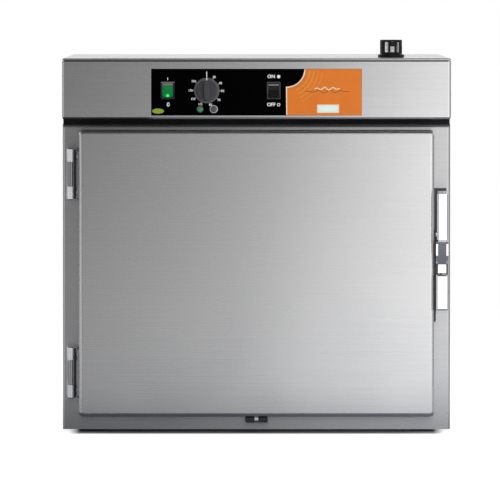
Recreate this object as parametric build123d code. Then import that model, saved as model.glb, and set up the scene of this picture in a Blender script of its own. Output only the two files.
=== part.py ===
from build123d import *
import math
import os

# Food regeneration oven: an insulated stainless chamber with a fan and a ring heater,
# a hinged door in front, and a control head on top. Millimetres throughout.
# X runs to the right, Y to the back and Z up. While a piece is drawn, Y is measured from
# the face of the front frame. On saving, every piece moves so that the origin is under
# the middle of the whole oven.

# Casing
WIDTH = 700.0
BODY_DEPTH = 800.0
BODY_HEIGHT = 551.5
GLIDE_HEIGHT = 4.0
SPACER_HEIGHT = 13.5
HEAD_HEIGHT = 106.0
SHEET = 1.2
EDGE_RADIUS = 5.0
FLANGE = 12.0
RETURN_DEPTH = 20.0
SEAM = 0.3
FIT = 0.2
RUNNING = 0.05
PRESSED = 0.02
COVER_LIP = 4.0
COVER_SEAL = 1.5

# Chamber
SIDE_WALL = 70.0
FLOOR_WALL = 70.0
CEILING_WALL = 53.5
COVE_RADIUS = 15.0
BACK_INSULATION = 26.0

# Door
DOOR_SIDE_REVEAL = 30.0
DOOR_BOTTOM_REVEAL = 25.0
DOOR_TOP_REVEAL = 10.5
DOOR_THICKNESS = 45.0
DOOR_EDGE_RADIUS = 7.0
DOOR_CORNER_RADIUS = 8.0
GASKET_GAP = 7.0
GASKET_WIDTH = 14.0
GASKET_MARGIN = 10.0
GASKET_CLEAR = 0.3
PLUG_HEIGHT = 4.0
PLUG_MARGIN = 15.0

# Hinges
HINGE_HEIGHT = 90.0
HINGE_END_KNUCKLE = 22.5
HINGE_INSET = 79.0
HINGE_RADIUS = 5.5
HINGE_PIN_RADIUS = 3.0
HINGE_FROM_SIDE = 15.0
HINGE_AXIS_FORWARD = 30.0
HINGE_PLATE = 3.0
HINGE_FOOT = 4.0
HINGE_FOOT_WIDTH = 18.0
KNUCKLE_GAP = 0.5

# Latch, placed from the door's free edge and front face and from the body's bottom edge
LATCH_WIDTH = 22.0
LATCH_PLATE = 3.0
LATCH_BOTTOM = 217.5
HOUSING_HEIGHT = 64.0
HOUSING_PROUD = 14.0
HOUSING_BACK = 10.0
CHEEK = 3.5
CHEEK_TOP = 123.5
CHEEK_REACH = 12.0
LEVER_PIVOT = 100.5
LEVER_PIVOT_BEHIND = 2.0
LEVER_TOP = 211.5
LEVER_PROUD = 28.0
LEVER_GRIP_WIDTH = 19.5
LEVER_GRIP_DEPTH = 13.0
LEVER_PIN_RADIUS = 3.0
HOOK_WIDTH = 9.0
HOOK_HEIGHT = 8.0
STRIKE_ROLLER_RADIUS = 5.0
STRIKE_ROLLER_FORWARD = 14.0
STRIKE_ROLLER_DROP = 16.0
STRIKE_PLATE = 3.0
STRIKE_HEIGHT = 48.0
HOOK_CLEAR = 0.4

# Door rest under the middle of the door
REST_WIDTH = 40.0
REST_HEIGHT = 9.0
REST_DEPTH = 46.0
REST_ROLLER_RADIUS = 4.0
REST_ROLLER_WIDTH = 7.0
REST_CLEAR = 0.3
SMALL_PIN_RADIUS = 1.5

# Control panel, with heights measured from the bottom edge of the fascia
OVERLAY_WIDTH = 379.0
OVERLAY_BOTTOM = 3.0
OVERLAY_TOP_MARGIN = 13.5
OVERLAY_THICKNESS = 0.5
SWITCH_HEIGHT = 48.0
POWER_SWITCH_X = -159.8
HUMIDITY_SWITCH_X = 31.0
KNOB_X = -89.5
LAMP_HEIGHT = 14.5
LAMP_XS = {"pilot_lamp_green": -101.5, "pilot_lamp_clear": -76.9}
BEZEL_BORDER = (2.0, 1.35)
BEZEL_THICKNESS = 2.0
SWITCH_WALL = (0.95, 0.7)
SWITCH_BODY_DEPTH = 24.0
ROCKER_RADIUS = 13.4
ROCKER_WIDTH = 18.5
ROCKER_CLEAR = 0.3
ROCKER_TILT = 12.0
ROCKER_SETBACK = 1.5
KNOB_SKIRT_RADIUS = 23.0
KNOB_BODY_RADIUS = 18.0
KNOB_LENGTH = 23.5
KNOB_GAP = 0.4
SHAFT_RADIUS = 3.0
THERMOSTAT_DEPTH = 30.0
SENSOR_RADIUS = 1.0
SENSOR_HOLE = 4.0
BULB_RADIUS = 4.0
BULB_LENGTH = 55.0
LAMP_LENS_RADIUS = 5.5
LAMP_BODY_RADIUS = 4.8

# Steam vent on the roof
VENT_FROM_SIDE = 106.0
VENT_Y = 60.0
VENT_PIPE_RADIUS = 15.0
VENT_PIPE_BORE = 13.0
VENT_FLANGE_RADIUS = 24.0
VENT_FLANGE_HEIGHT = 6.3
VENT_CAP_RADIUS = 20.0
VENT_CAP_HEIGHT = 26.0
VENT_CAP_WALL = 2.5
VENT_SLOT = 8.4
VENT_TALL_SLOT = 21.6
VENT_SHORT_SLOT = 14.0
VENT_TALL_ANGLES = (-26.0, 40.0, 206.0, 275.0)
VENT_SHORT_ANGLES = (6.5, 75.0, 173.5, 240.0)

# Fan, heater and baffle
FAN_RADIUS = 100.0
FAN_DEPTH = 34.0
FAN_BLADES = 12
FAN_BACK_GAP = 4.0
MOTOR_SHAFT_RADIUS = 5.0
MOTOR_RADIUS = 46.0
MOTOR_LENGTH = 46.0
MOTOR_CLEAR = 10.6
BRACKET_SIZE = 140.0
BRACKET_THICKNESS = 3.0
HEATER_FAN_GAP = 18.0
HEATER_TUBE_RADIUS = 4.0
HEATER_BACK_GAP = 20.0
HEATER_BEND = 12.0
HEATER_GAP = 60.0
HEATER_TERMINAL = 12.0
BAFFLE_FAN_GAP = 13.0
BAFFLE_SIDE_GAP = 40.0
BAFFLE_END_GAP = 14.0
STANDOFF_RADIUS = 5.0
NUT_RADIUS = 8.0
NUT_LENGTH = 9.0

# Side racks
RUNNER_PITCH = 75.0
FIRST_RUNNER = 46.0
RUNNER_LEDGE = 17.0
RUNNER_THICKNESS = 4.0
RUNNER_CORNER = 6.0
STOP_HEIGHT = 8.0
STOP_THICKNESS = 3.0
UPRIGHT_THICKNESS = 4.0
UPRIGHT_WIDTH = 24.0
UPRIGHT_GAP = 4.0
RACK_FRONT = 20.0
RACK_BACK_GAP = 10.0
STUD_RADIUS = 4.0
HEADROOM = 50.0

# Services at the back
DRAIN_RADIUS = 10.0
DRAIN_BORE = 8.5
SPIGOT_RADIUS = 11.0
DRAIN_FROM_BACK = 112.0
DRAIN_LOW = 36.0
SERVICE_REACH = 20.0
SERVICE_HEIGHT = 100.0
GLAND_X = -220.0
GLAND_RADIUS = 12.0
GLAND_BORE = 6.0
VALVE_X = 180.0
VALVE_SIZE = (40.0, 40.0, 60.0)
VALVE_THREAD_RADIUS = 13.0
VALVE_NECK_RADIUS = 11.5
VALVE_BORE = 8.0
WATER_PIPE_RADIUS = 3.0
SCREW_HEAD_RADIUS = 4.0
SCREW_HEAD_HEIGHT = 2.2
SCREW_RADIUS = 2.5

# Electrical parts in the head
RAIL_LENGTH = 220.0
RAIL_Y = 170.0
RAIL_WIDTH = 35.0
RAIL_HEIGHT = 7.5
CONTACTOR_SIZE = (45.0, 75.0, 72.0)
CONTACTOR_X = -60.0
TERMINAL_PITCH = 10.0
TERMINALS = 6

# Places that follow from the sizes above
HALF = WIDTH / 2
BODY_BOTTOM = GLIDE_HEIGHT
BODY_TOP = BODY_BOTTOM + BODY_HEIGHT
HEAD_BOTTOM = BODY_TOP + SPACER_HEIGHT
HEAD_TOP = HEAD_BOTTOM + HEAD_HEIGHT
FASCIA_TOP = HEAD_TOP - COVER_LIP - COVER_SEAL
DOOR_BACK = -GASKET_GAP
DOOR_FRONT = DOOR_BACK - DOOR_THICKNESS
EDGE_PLATE_FRONT = DOOR_FRONT + DOOR_EDGE_RADIUS + 1
HEAD_FRONT = DOOR_FRONT
DOOR_HALF = HALF - DOOR_SIDE_REVEAL
DOOR_LOW = BODY_BOTTOM + DOOR_BOTTOM_REVEAL
DOOR_HIGH = BODY_TOP - DOOR_TOP_REVEAL
CHAMBER_HALF = HALF - SIDE_WALL
CHAMBER_LOW = BODY_BOTTOM + FLOOR_WALL
CHAMBER_HIGH = BODY_TOP - CEILING_WALL
CHAMBER_MID = (CHAMBER_LOW + CHAMBER_HIGH) / 2
BACK_SPACE = 2 * SHEET + BACK_INSULATION + BRACKET_THICKNESS + MOTOR_LENGTH + MOTOR_CLEAR
CHAMBER_DEPTH = BODY_DEPTH - BACK_SPACE
LINER_BACK = CHAMBER_DEPTH + SHEET
BRACKET_Y = LINER_BACK + BACK_INSULATION
HINGE_X = -HALF + HINGE_FROM_SIDE
HINGE_Y = -HINGE_AXIS_FORWARD
HINGE_MIDDLES = (DOOR_LOW + HINGE_INSET, DOOR_HIGH - HINGE_INSET)
LATCH_LEFT = DOOR_HALF + LATCH_PLATE
LATCH_RIGHT = LATCH_LEFT + LATCH_WIDTH
LATCH_X = (LATCH_LEFT + LATCH_RIGHT) / 2
LATCH_Z = BODY_BOTTOM + LATCH_BOTTOM
LEVER_NECK_WIDTH = LATCH_WIDTH - 2 * CHEEK - 2 * FIT
LEVER_FRONT = DOOR_FRONT - LEVER_PROUD
HOUSING_FRONT = DOOR_FRONT - HOUSING_PROUD
PIVOT_Y = DOOR_FRONT + LEVER_PIVOT_BEHIND
PIVOT_Z = LATCH_Z + LEVER_PIVOT
ROLLER_Y = -STRIKE_ROLLER_FORWARD
ROLLER_Z = PIVOT_Z - STRIKE_ROLLER_DROP
REST_Y = -REST_DEPTH + REST_ROLLER_RADIUS + 2
REST_Z = DOOR_LOW - REST_CLEAR - REST_ROLLER_RADIUS
PANEL_Y = HEAD_FRONT - OVERLAY_THICKNESS
ROCKER_Y = PANEL_Y + ROCKER_SETBACK
SWITCH_Z = HEAD_BOTTOM + SWITCH_HEIGHT
LAMP_Z = HEAD_BOTTOM + LAMP_HEIGHT
SWITCH_BORE_RADIUS = ROCKER_RADIUS + ROCKER_CLEAR
SWITCH_BODY_WIDTH = ROCKER_WIDTH + 2 * (ROCKER_CLEAR + SWITCH_WALL[0])
SWITCH_BODY_SIZE = (SWITCH_BODY_WIDTH, 2 * (SWITCH_BORE_RADIUS + SWITCH_WALL[1]))
BEZEL_SIZE = tuple(size + 2 * border for size, border in zip(SWITCH_BODY_SIZE, BEZEL_BORDER))
FAN_BACK = CHAMBER_DEPTH - FAN_BACK_GAP
FAN_FRONT = FAN_BACK - FAN_DEPTH
BAFFLE_Y = FAN_FRONT - BAFFLE_FAN_GAP
HEATER_Y = CHAMBER_DEPTH - HEATER_BACK_GAP
HEATER_RING_RADIUS = FAN_RADIUS + HEATER_FAN_GAP + HEATER_TUBE_RADIUS
MOTOR_Y = BRACKET_Y + BRACKET_THICKNESS
RACK_X = CHAMBER_HALF - UPRIGHT_GAP - UPRIGHT_THICKNESS
SENSOR_X = KNOB_X
SENSOR_Y = BAFFLE_Y - BULB_RADIUS - 5
RUNNER_YS = (RACK_FRONT, BAFFLE_Y - RACK_BACK_GAP)
UPRIGHT_YS = (RUNNER_YS[0] + 40, RUNNER_YS[1] - 60)
LEVELS = int((CHAMBER_HIGH - CHAMBER_LOW - FIRST_RUNNER - HEADROOM) // RUNNER_PITCH) + 1
VENT_X = HALF - VENT_FROM_SIDE
DRAIN_Y = CHAMBER_DEPTH - DRAIN_FROM_BACK
VENT_SEAT = HEAD_TOP + VENT_FLANGE_HEIGHT
SERVICE_Z = BODY_BOTTOM + SERVICE_HEIGHT
REAR_REACH = BODY_DEPTH + SERVICE_REACH
FLOOR_DECK = HEAD_BOTTOM + 2 * SHEET
ORIGIN_Y = (REAR_REACH + LEVER_FRONT) / 2


def block(xs, ys, zs):
    """A box between two values on each axis, given in either order."""
    size = [abs(b - a) for a, b in (xs, ys, zs)]
    middle = [(a + b) / 2 for a, b in (xs, ys, zs)]
    return Pos(*middle) * Box(*size)


def rod_x(radius, x0, x1, y, z):
    return Pos((x0 + x1) / 2, y, z) * Rot(0, 90, 0) * Cylinder(radius, abs(x1 - x0))


def rod_y(radius, x, y0, y1, z):
    return Pos(x, (y0 + y1) / 2, z) * Rot(90, 0, 0) * Cylinder(radius, abs(y1 - y0))


def rod_z(radius, x, y, z0, z1):
    return Pos(x, y, (z0 + z1) / 2) * Cylinder(radius, abs(z1 - z0))


def edges_along(shape, axis):
    """The straight edges of a shape that run along one axis."""
    return shape.edges().filter_by(GeomType.LINE).filter_by(axis)


def rounded(shape, axis, radius):
    """A shape with every straight edge along one axis rounded."""
    return fillet(edges_along(shape, axis), radius)


def edges_at(shape, y):
    """The edges of a shape that lie in the plane at depth y."""
    return shape.edges().filter_by_position(Axis.Y, y - 0.01, y + 0.01)


def tube(points, radius, bend):
    """A round bar along straight runs that are joined by tangent arcs."""
    path = FilletPolyline(points, radius=bend)
    heading = Vector(*points[1]) - Vector(*points[0])
    return sweep(Plane(origin=points[0], z_dir=heading) * Circle(radius), path=path)


def save(name, *solids):
    """Writes one node, moved so that the origin is under the middle of the oven."""
    placed = [Pos(0, -ORIGIN_Y, 0) * solid for shape in solids for solid in shape.solids()]
    shape = placed[0] if len(placed) == 1 else Compound(children=placed)
    shape.label = name
    export_step(shape, f"parts/{name}.step")


# Casing of the heated body


def folded_front(low, high, front, opening):
    """A front plate with all four edges folded back and its upright edges rounded."""
    outer = block((-HALF, HALF), (front, front + RETURN_DEPTH), (low, high))
    outer = fillet(edges_at(outer, front).filter_by(Axis.Z), EDGE_RADIUS)
    half = HALF - SHEET
    inner = block((-half, half), (front + SHEET, front + RETURN_DEPTH + 1), (low + SHEET, high - SHEET))
    inner = fillet(edges_at(inner, front + SHEET).filter_by(Axis.Z), EDGE_RADIUS - SHEET)
    return outer - inner - opening


def chamber_space(y0, y1, grow=0.0):
    """The chamber's space with its coved long corners, or the liner's outside when grown."""
    half = CHAMBER_HALF + grow
    space = block((-half, half), (y0, y1), (CHAMBER_LOW - grow, CHAMBER_HIGH + grow))
    return rounded(space, Axis.Y, COVE_RADIUS + grow)


def hinge_screw_points():
    return [(HINGE_X, z + step) for z in HINGE_MIDDLES for step in (-12.0, 12.0)]


def strike_screw_points():
    return [(LATCH_X, ROLLER_Z + step) for step in (-17.0, 17.0)]


def make_front_frame():
    frame = folded_front(BODY_BOTTOM, BODY_TOP, 0, chamber_space(-1, SHEET + 1))
    for x, z in hinge_screw_points() + strike_screw_points():
        frame -= rod_y(SCREW_RADIUS + RUNNING, x, -1, SHEET + 1, z)
    return frame


def side_panel(side, low, high, start):
    """A side sheet with flanges folded inwards at its bottom, top and back edges."""
    skin = side * HALF
    inside = side * (HALF - SHEET)
    lip = side * (HALF - SHEET - FLANGE)
    end = BODY_DEPTH - SHEET
    panel = block((skin, inside), (start, end), (low, high))
    panel += block((inside, lip), (start, end), (low, low + SHEET))
    panel += block((inside, lip), (start, end), (high - SHEET, high))
    panel += block((inside, lip), (end - SHEET, end), (low + SHEET, high - SHEET))
    return panel


def glide_points():
    return [(side * (HALF - 50), y) for side in (-1, 1) for y in (60.0, BODY_DEPTH - 60)]


def make_base_panel():
    level = BODY_BOTTOM + SHEET
    half = HALF - SHEET - FIT
    panel = block((-half, half), (EDGE_RADIUS + 1, BODY_DEPTH - 2 * SHEET - FIT), (level, level + SHEET))
    for x, y in glide_points():
        panel -= rod_z(SCREW_RADIUS + 1.5 + RUNNING, x, y, level - 1, level + SHEET + 1)
    return panel


def make_glides():
    """Four low round glides, each with a stem that fills its hole in the base sheet."""
    glides = []
    for x, y in glide_points():
        foot = fillet(rod_z(25, x, y, 0, GLIDE_HEIGHT).edges().filter_by(GeomType.CIRCLE), 1)
        foot += rod_z(10, x, y, GLIDE_HEIGHT, GLIDE_HEIGHT + SHEET)
        foot += rod_z(SCREW_RADIUS + 1.5, x, y, GLIDE_HEIGHT, GLIDE_HEIGHT + 2 * SHEET)
        glides.append(foot)
    return glides


def make_body_deck():
    level = BODY_TOP - SHEET
    half = HALF - SHEET - FIT
    deck = block((-half, half), (EDGE_RADIUS + 1, BODY_DEPTH - 2 * SHEET - FIT), (level - SHEET, level))
    deck -= rod_z(SENSOR_HOLE, SENSOR_X, SENSOR_Y, level - 3, level + 1)
    return deck - rod_z(VENT_PIPE_RADIUS + FIT, VENT_X, VENT_Y, level - 3, level + 1)


def rear_screw_points(low, high):
    """Screw places along the side flanges of a rear panel."""
    x = HALF - SHEET - FLANGE / 2
    rows = 3 if high - low > 200 else 2
    step = (high - low - 40) / (rows - 1)
    return [(side * x, low + 20 + row * step) for side in (-1, 1) for row in range(rows)]


def rear_plate(low, high, slot_xs, slot_zs):
    """A flat rear sheet with rows of cooling slots and holes for its screws."""
    plate = block((-HALF, HALF), (BODY_DEPTH - SHEET, BODY_DEPTH), (low, high))
    slot = rounded(block((-40, 40), (BODY_DEPTH - 5, BODY_DEPTH + 5), (-2.5, 2.5)), Axis.Y, 2.4)
    for x in slot_xs:
        for z in slot_zs:
            plate -= Pos(x, 0, z) * slot
    for x, z in rear_screw_points(low, high):
        plate -= rod_y(SCREW_RADIUS + RUNNING, x, BODY_DEPTH - 5, BODY_DEPTH + 5, z)
    return plate


def make_rear_panel():
    slot_zs = [CHAMBER_MID + step * 14.0 for step in range(-4, 5)]
    panel = rear_plate(BODY_BOTTOM, BODY_TOP, (-55.0, 55.0), slot_zs)
    panel -= rod_y(GLAND_RADIUS - 2 + FIT, GLAND_X, BODY_DEPTH - 5, BODY_DEPTH + 5, SERVICE_Z)
    panel -= rod_y(VALVE_NECK_RADIUS + FIT, VALVE_X, BODY_DEPTH - 5, BODY_DEPTH + 5, SERVICE_Z)
    return panel - rod_y(DRAIN_RADIUS + FIT, 0, BODY_DEPTH - 5, BODY_DEPTH + 5, BODY_BOTTOM + DRAIN_LOW)


def make_head_rear_panel():
    slot_zs = [HEAD_BOTTOM + 30 + step * 14.0 for step in range(4)]
    return rear_plate(HEAD_BOTTOM, FASCIA_TOP, (-200.0, 0.0, 200.0), slot_zs)


def screw_y(x, y, z, way, length):
    """A pan-head screw whose head stands out of a face at y, towards way along Y."""
    head = rod_y(SCREW_HEAD_RADIUS, x, y, y + way * SCREW_HEAD_HEIGHT, z)
    head = fillet(head.edges().filter_by(GeomType.CIRCLE).sort_by(Axis.Y)[-1 if way > 0 else 0], 1)
    return head + rod_y(SCREW_RADIUS, x, y - way * length, y, z)


# Chamber, insulation and racks


def back_wall_holes(y0, y1, extra):
    """What passes through the chamber's back wall, as rods that are cut from it."""
    cut = rod_y(MOTOR_SHAFT_RADIUS + 1 + extra, 0, y0, y1, CHAMBER_MID)
    for side in (-1, 1):
        x, z = heater_leg(side)
        cut += rod_y(HEATER_TUBE_RADIUS + FIT + extra, x, y0, y1, z)
    return cut + rod_y(WATER_PIPE_RADIUS + FIT + extra, VALVE_X, y0, y1, water_pipe_high())


def make_chamber_liner():
    liner = chamber_space(SHEET, LINER_BACK, SHEET) - chamber_space(0, CHAMBER_DEPTH)
    liner -= back_wall_holes(CHAMBER_DEPTH - 1, LINER_BACK + 1, 0)
    liner -= rod_z(VENT_PIPE_BORE, VENT_X, VENT_Y, CHAMBER_HIGH - 1, CHAMBER_HIGH + 5)
    liner -= rod_z(DRAIN_BORE, 0, DRAIN_Y, CHAMBER_LOW - 5, CHAMBER_LOW + 1)
    liner -= rod_z(SENSOR_RADIUS + FIT, SENSOR_X, SENSOR_Y, CHAMBER_HIGH - 1, CHAMBER_HIGH + 5)
    for side in (-1, 1):
        for y, z in stud_points():
            liner += rack_stud(side, y, z)
    for x, z in standoff_points():
        liner += rod_y(STANDOFF_RADIUS, x, BAFFLE_Y + SHEET, CHAMBER_DEPTH, z)
        liner += rod_y(SCREW_RADIUS, x, BAFFLE_Y - NUT_LENGTH - 1, CHAMBER_DEPTH, z)
    return liner


def make_insulation():
    """Five slabs of mineral wool, one against each wall of the chamber."""
    low, high = CHAMBER_LOW - SHEET, CHAMBER_HIGH + SHEET
    side_in, side_out = CHAMBER_HALF + SHEET, HALF - SHEET - FLANGE - 1
    front, back = RETURN_DEPTH + 5, LINER_BACK
    floor, roof = BODY_BOTTOM + 2 * SHEET, BODY_TOP - 2 * SHEET
    slabs = []
    for side in (-1, 1):
        slabs.append(block((side * side_in, side * side_out), (front, back), (floor, roof)))
    bottom = block((-side_in, side_in), (front, back), (floor, low))
    bottom -= block((-14, 14), (DRAIN_Y - 14, back + 1), (floor - 1, low + 1))
    top = block((-side_in, side_in), (front, back), (high, roof))
    top -= rod_z(VENT_PIPE_RADIUS + 2, VENT_X, VENT_Y, high - 1, roof + 1)
    top -= rod_z(SENSOR_HOLE, SENSOR_X, SENSOR_Y, high - 1, roof + 1)
    rear = block((-side_in, side_in), (LINER_BACK, BRACKET_Y), (low, high))
    rear -= back_wall_holes(LINER_BACK - 1, BRACKET_Y + 1, 2)
    for x, z in bracket_points():
        rear -= rod_y(STANDOFF_RADIUS + FIT, x, LINER_BACK - 1, BRACKET_Y + 1, z)
    return [*slabs, bottom, top, rear]


def runner_levels():
    return [CHAMBER_LOW + FIRST_RUNNER + level * RUNNER_PITCH for level in range(LEVELS)]


def stud_points():
    levels = runner_levels()
    return [(y, levels[index] - RUNNER_PITCH / 3) for y in UPRIGHT_YS for index in (0, -1)]


def make_rack(side):
    """Three uprights with a flat runner bar at each level, and a stop at the back of each runner."""
    low, high = CHAMBER_LOW + 8, runner_levels()[-1] + 20
    face = side * RACK_X
    tip = face - side * RUNNER_LEDGE
    bars = []
    for y in (*UPRIGHT_YS, sum(UPRIGHT_YS) / 2):
        ys = (y - UPRIGHT_WIDTH / 2, y + UPRIGHT_WIDTH / 2)
        bars.append(block((face, face + side * UPRIGHT_THICKNESS), ys, (low, high)))
    for y, z in stud_points():
        hole = rod_x(STUD_RADIUS + FIT, face - side, face + side * (UPRIGHT_THICKNESS + 1), y, z)
        bars[UPRIGHT_YS.index(y)] -= hole
    for z in runner_levels():
        runner = block((face, tip), RUNNER_YS, (z - RUNNER_THICKNESS, z))
        corners = edges_along(runner, Axis.Z).filter_by_position(Axis.X, tip - 0.01, tip + 0.01)
        bars.append(fillet(corners, RUNNER_CORNER))
        stop_ys = (RUNNER_YS[1] - RUNNER_CORNER - STOP_THICKNESS, RUNNER_YS[1] - RUNNER_CORNER)
        bars.append(block((face, tip + side), stop_ys, (z, z + STOP_HEIGHT)))
    return bars


def rack_stud(side, y, z):
    """A shouldered stud on a side wall of the chamber, which the rack hangs on."""
    wall = side * CHAMBER_HALF
    shoulder = rod_x(STUD_RADIUS + 2, wall, side * (RACK_X + UPRIGHT_THICKNESS + FIT), y, z)
    return shoulder + rod_x(STUD_RADIUS, wall, side * (RACK_X - 1), y, z)


# Fan, heater, baffle and motor


def make_fan_wheel():
    """A backplate with radial blades, a front ring, and a hub on the motor's shaft."""
    plate = rod_y(FAN_RADIUS, 0, FAN_BACK - 1.5, FAN_BACK, CHAMBER_MID)
    ring = rod_y(FAN_RADIUS, 0, FAN_FRONT, FAN_FRONT + 1.5, CHAMBER_MID)
    ring -= rod_y(FAN_RADIUS - 22, 0, FAN_FRONT - 1, FAN_FRONT + 3, CHAMBER_MID)
    wheel = plate + ring + rod_y(14, 0, FAN_FRONT + 10, FAN_BACK, CHAMBER_MID)
    blade = block((FAN_RADIUS - 40, FAN_RADIUS - 0.5), (FAN_FRONT, FAN_BACK), (-0.8, 0.8))
    for index in range(FAN_BLADES):
        wheel += Pos(0, 0, CHAMBER_MID) * Rot(0, index * 360 / FAN_BLADES, 0) * blade
    return wheel + rod_y(MOTOR_SHAFT_RADIUS, 0, FAN_FRONT + 8, MOTOR_Y + MOTOR_LENGTH - 8, CHAMBER_MID)


def bracket_points():
    reach = BRACKET_SIZE / 2 - 12
    return [(x, CHAMBER_MID + z) for x in (-reach, reach) for z in (-reach, reach)]


def make_motor_bracket():
    """A square plate on four spacers that pass through the rear slab."""
    half = BRACKET_SIZE / 2
    plate = block((-half, half), (BRACKET_Y, MOTOR_Y), (CHAMBER_MID - half, CHAMBER_MID + half))
    plate = rounded(plate, Axis.Y, 8)
    for x, z in bracket_points():
        plate += rod_y(STANDOFF_RADIUS, x, LINER_BACK, BRACKET_Y, z)
    return plate - rod_y(MOTOR_SHAFT_RADIUS + 1, 0, BRACKET_Y - 1, MOTOR_Y + 1, CHAMBER_MID)


def make_fan_motor():
    end = MOTOR_Y + MOTOR_LENGTH
    can = fillet(rod_y(MOTOR_RADIUS, 0, MOTOR_Y, end, CHAMBER_MID).edges().filter_by(GeomType.CIRCLE), 3)
    for index in range(8):
        slot = block((MOTOR_RADIUS - 3, MOTOR_RADIUS + 2), (MOTOR_Y + 10, end - 8), (-2, 2))
        can -= Pos(0, 0, CHAMBER_MID) * Rot(0, index * 45 + 22.5, 0) * slot
    return can - rod_y(MOTOR_SHAFT_RADIUS + RUNNING, 0, MOTOR_Y - 1, end - 6, CHAMBER_MID)


def heater_end(side):
    """Where the ring stops beside its gap, and the direction it has there, as (x, z) pairs."""
    across = HEATER_GAP / 2 / HEATER_RING_RADIUS
    down = math.sqrt(1 - across * across)
    place = (side * HEATER_GAP / 2, CHAMBER_MID - HEATER_RING_RADIUS * down)
    return place, (-side * down, -across)


def heater_leg(side):
    """Where a heater leg passes back through the wall, as (x, z)."""
    place, heading = heater_end(side)
    return place[0] + HEATER_BEND * heading[0], place[1] + HEATER_BEND * heading[1]


def make_heater():
    """One turn of sheathed element round the fan, with both ends bent back through the wall."""
    back = Vector(0, 1, 0)
    halfway = math.sqrt(0.5)
    ends = {}
    for side in (-1, 1):
        place, heading = heater_end(side)
        start = Vector(place[0], HEATER_Y, place[1])
        tangent = Vector(heading[0], 0, heading[1])
        middle = start + tangent * (HEATER_BEND * halfway) + back * (HEATER_BEND * (1 - halfway))
        finish = start + tangent * HEATER_BEND + back * HEATER_BEND
        ends[side] = (start, middle, finish, Vector(finish.X, BRACKET_Y + HEATER_TERMINAL, finish.Z))
    top = Vector(0, HEATER_Y, CHAMBER_MID + HEATER_RING_RADIUS)
    left, right = ends[-1], ends[1]
    path = Wire(
        [
            Edge.make_line(left[3], left[2]),
            Edge.make_three_point_arc(left[2], left[1], left[0]),
            Edge.make_three_point_arc(left[0], top, right[0]),
            Edge.make_three_point_arc(right[0], right[1], right[2]),
            Edge.make_line(right[2], right[3]),
        ]
    )
    section = Plane(origin=left[3], z_dir=(0, -1, 0)) * Circle(HEATER_TUBE_RADIUS)
    return sweep(section, path=path)


def make_baffle():
    """A flat plate in front of the fan, with slots that make up a round intake grille."""
    half = CHAMBER_HALF - BAFFLE_SIDE_GAP
    low, high = CHAMBER_LOW + BAFFLE_END_GAP, CHAMBER_HIGH - BAFFLE_END_GAP
    plate = rounded(block((-half, half), (BAFFLE_Y, BAFFLE_Y + SHEET), (low, high)), Axis.Y, 10)
    reach = FAN_RADIUS - 20
    for row in range(-4, 5):
        height = row * 17.0
        half_slot = math.sqrt(reach * reach - height * height)
        z = CHAMBER_MID + height
        for side in (-1, 1):
            slot = block((side * 4, side * half_slot), (BAFFLE_Y - 1, BAFFLE_Y + 3), (z - 5, z + 5))
            plate -= rounded(slot, Axis.Y, 4.5)
    for x, z in standoff_points():
        plate -= rod_y(SCREW_RADIUS + RUNNING, x, BAFFLE_Y - 1, BAFFLE_Y + 3, z)
    return plate


def standoff_points():
    x = CHAMBER_HALF - BAFFLE_SIDE_GAP - 25
    z = (CHAMBER_HIGH - CHAMBER_LOW) / 2 - BAFFLE_END_GAP - 25
    return [(sx * x, CHAMBER_MID + sz * z) for sx in (-1, 1) for sz in (-1, 1)]


def make_baffle_nuts():
    """Four hand nuts that hold the baffle against the standoffs."""
    nuts = []
    for x, z in standoff_points():
        nut = rod_y(NUT_RADIUS, x, BAFFLE_Y - NUT_LENGTH, BAFFLE_Y, z)
        nut = fillet(nut.edges().filter_by(GeomType.CIRCLE).sort_by(Axis.Y)[0], 1)
        nuts.append(nut - rod_y(SCREW_RADIUS + RUNNING, x, BAFFLE_Y - NUT_LENGTH - 1, BAFFLE_Y + 1, z))
    return nuts


# Door


def door_block(inset, y0, y1):
    solid = block((-DOOR_HALF + inset, DOOR_HALF - inset), (y0, y1), (DOOR_LOW + inset, DOOR_HIGH - inset))
    return rounded(solid, Axis.Y, max(DOOR_CORNER_RADIUS - inset, 1))


def door_screw_levels():
    """Heights of the screws that hold the hinge plates to the door's left edge."""
    return [z + step for z in HINGE_MIDDLES for step in (-32.0, 32.0)]


def latch_screw_levels():
    """Heights of the screws that hold the latch plate to the door's right edge."""
    return [LATCH_Z - 12, LATCH_Z + CHEEK_TOP + 12]


def make_door_skin():
    """The outer pan of the door, folded back on all four sides."""
    back = DOOR_BACK - SHEET
    skin = door_block(0, DOOR_FRONT, back)
    skin = fillet(edges_at(skin, DOOR_FRONT), DOOR_EDGE_RADIUS)
    hollow = door_block(SHEET, DOOR_FRONT + SHEET, back + 1)
    skin -= fillet(edges_at(hollow, DOOR_FRONT + SHEET), DOOR_EDGE_RADIUS - SHEET)
    for z in door_screw_levels():
        skin -= rod_x(SCREW_RADIUS + RUNNING, -DOOR_HALF - 1, -DOOR_HALF + 3, HINGE_Y, z)
    for z in latch_screw_levels():
        skin -= rod_x(SCREW_RADIUS + RUNNING, DOOR_HALF - 3, DOOR_HALF + 1, HINGE_Y, z)
    return skin


def plug_block(inset, y0, y1):
    half = CHAMBER_HALF - PLUG_MARGIN - inset
    low, high = CHAMBER_LOW + PLUG_MARGIN + inset, CHAMBER_HIGH - PLUG_MARGIN - inset
    return rounded(block((-half, half), (y0, y1), (low, high)), Axis.Y, 20 - inset)


def make_door_inner():
    """The inner sheet, pressed out in its middle so that it enters the chamber's mouth."""
    sheet = door_block(0, DOOR_BACK - SHEET, DOOR_BACK)
    sheet += plug_block(0, DOOR_BACK - SHEET, DOOR_BACK + PLUG_HEIGHT)
    return sheet - plug_block(SHEET, DOOR_BACK - 2 * SHEET, DOOR_BACK + PLUG_HEIGHT - SHEET)


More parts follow.
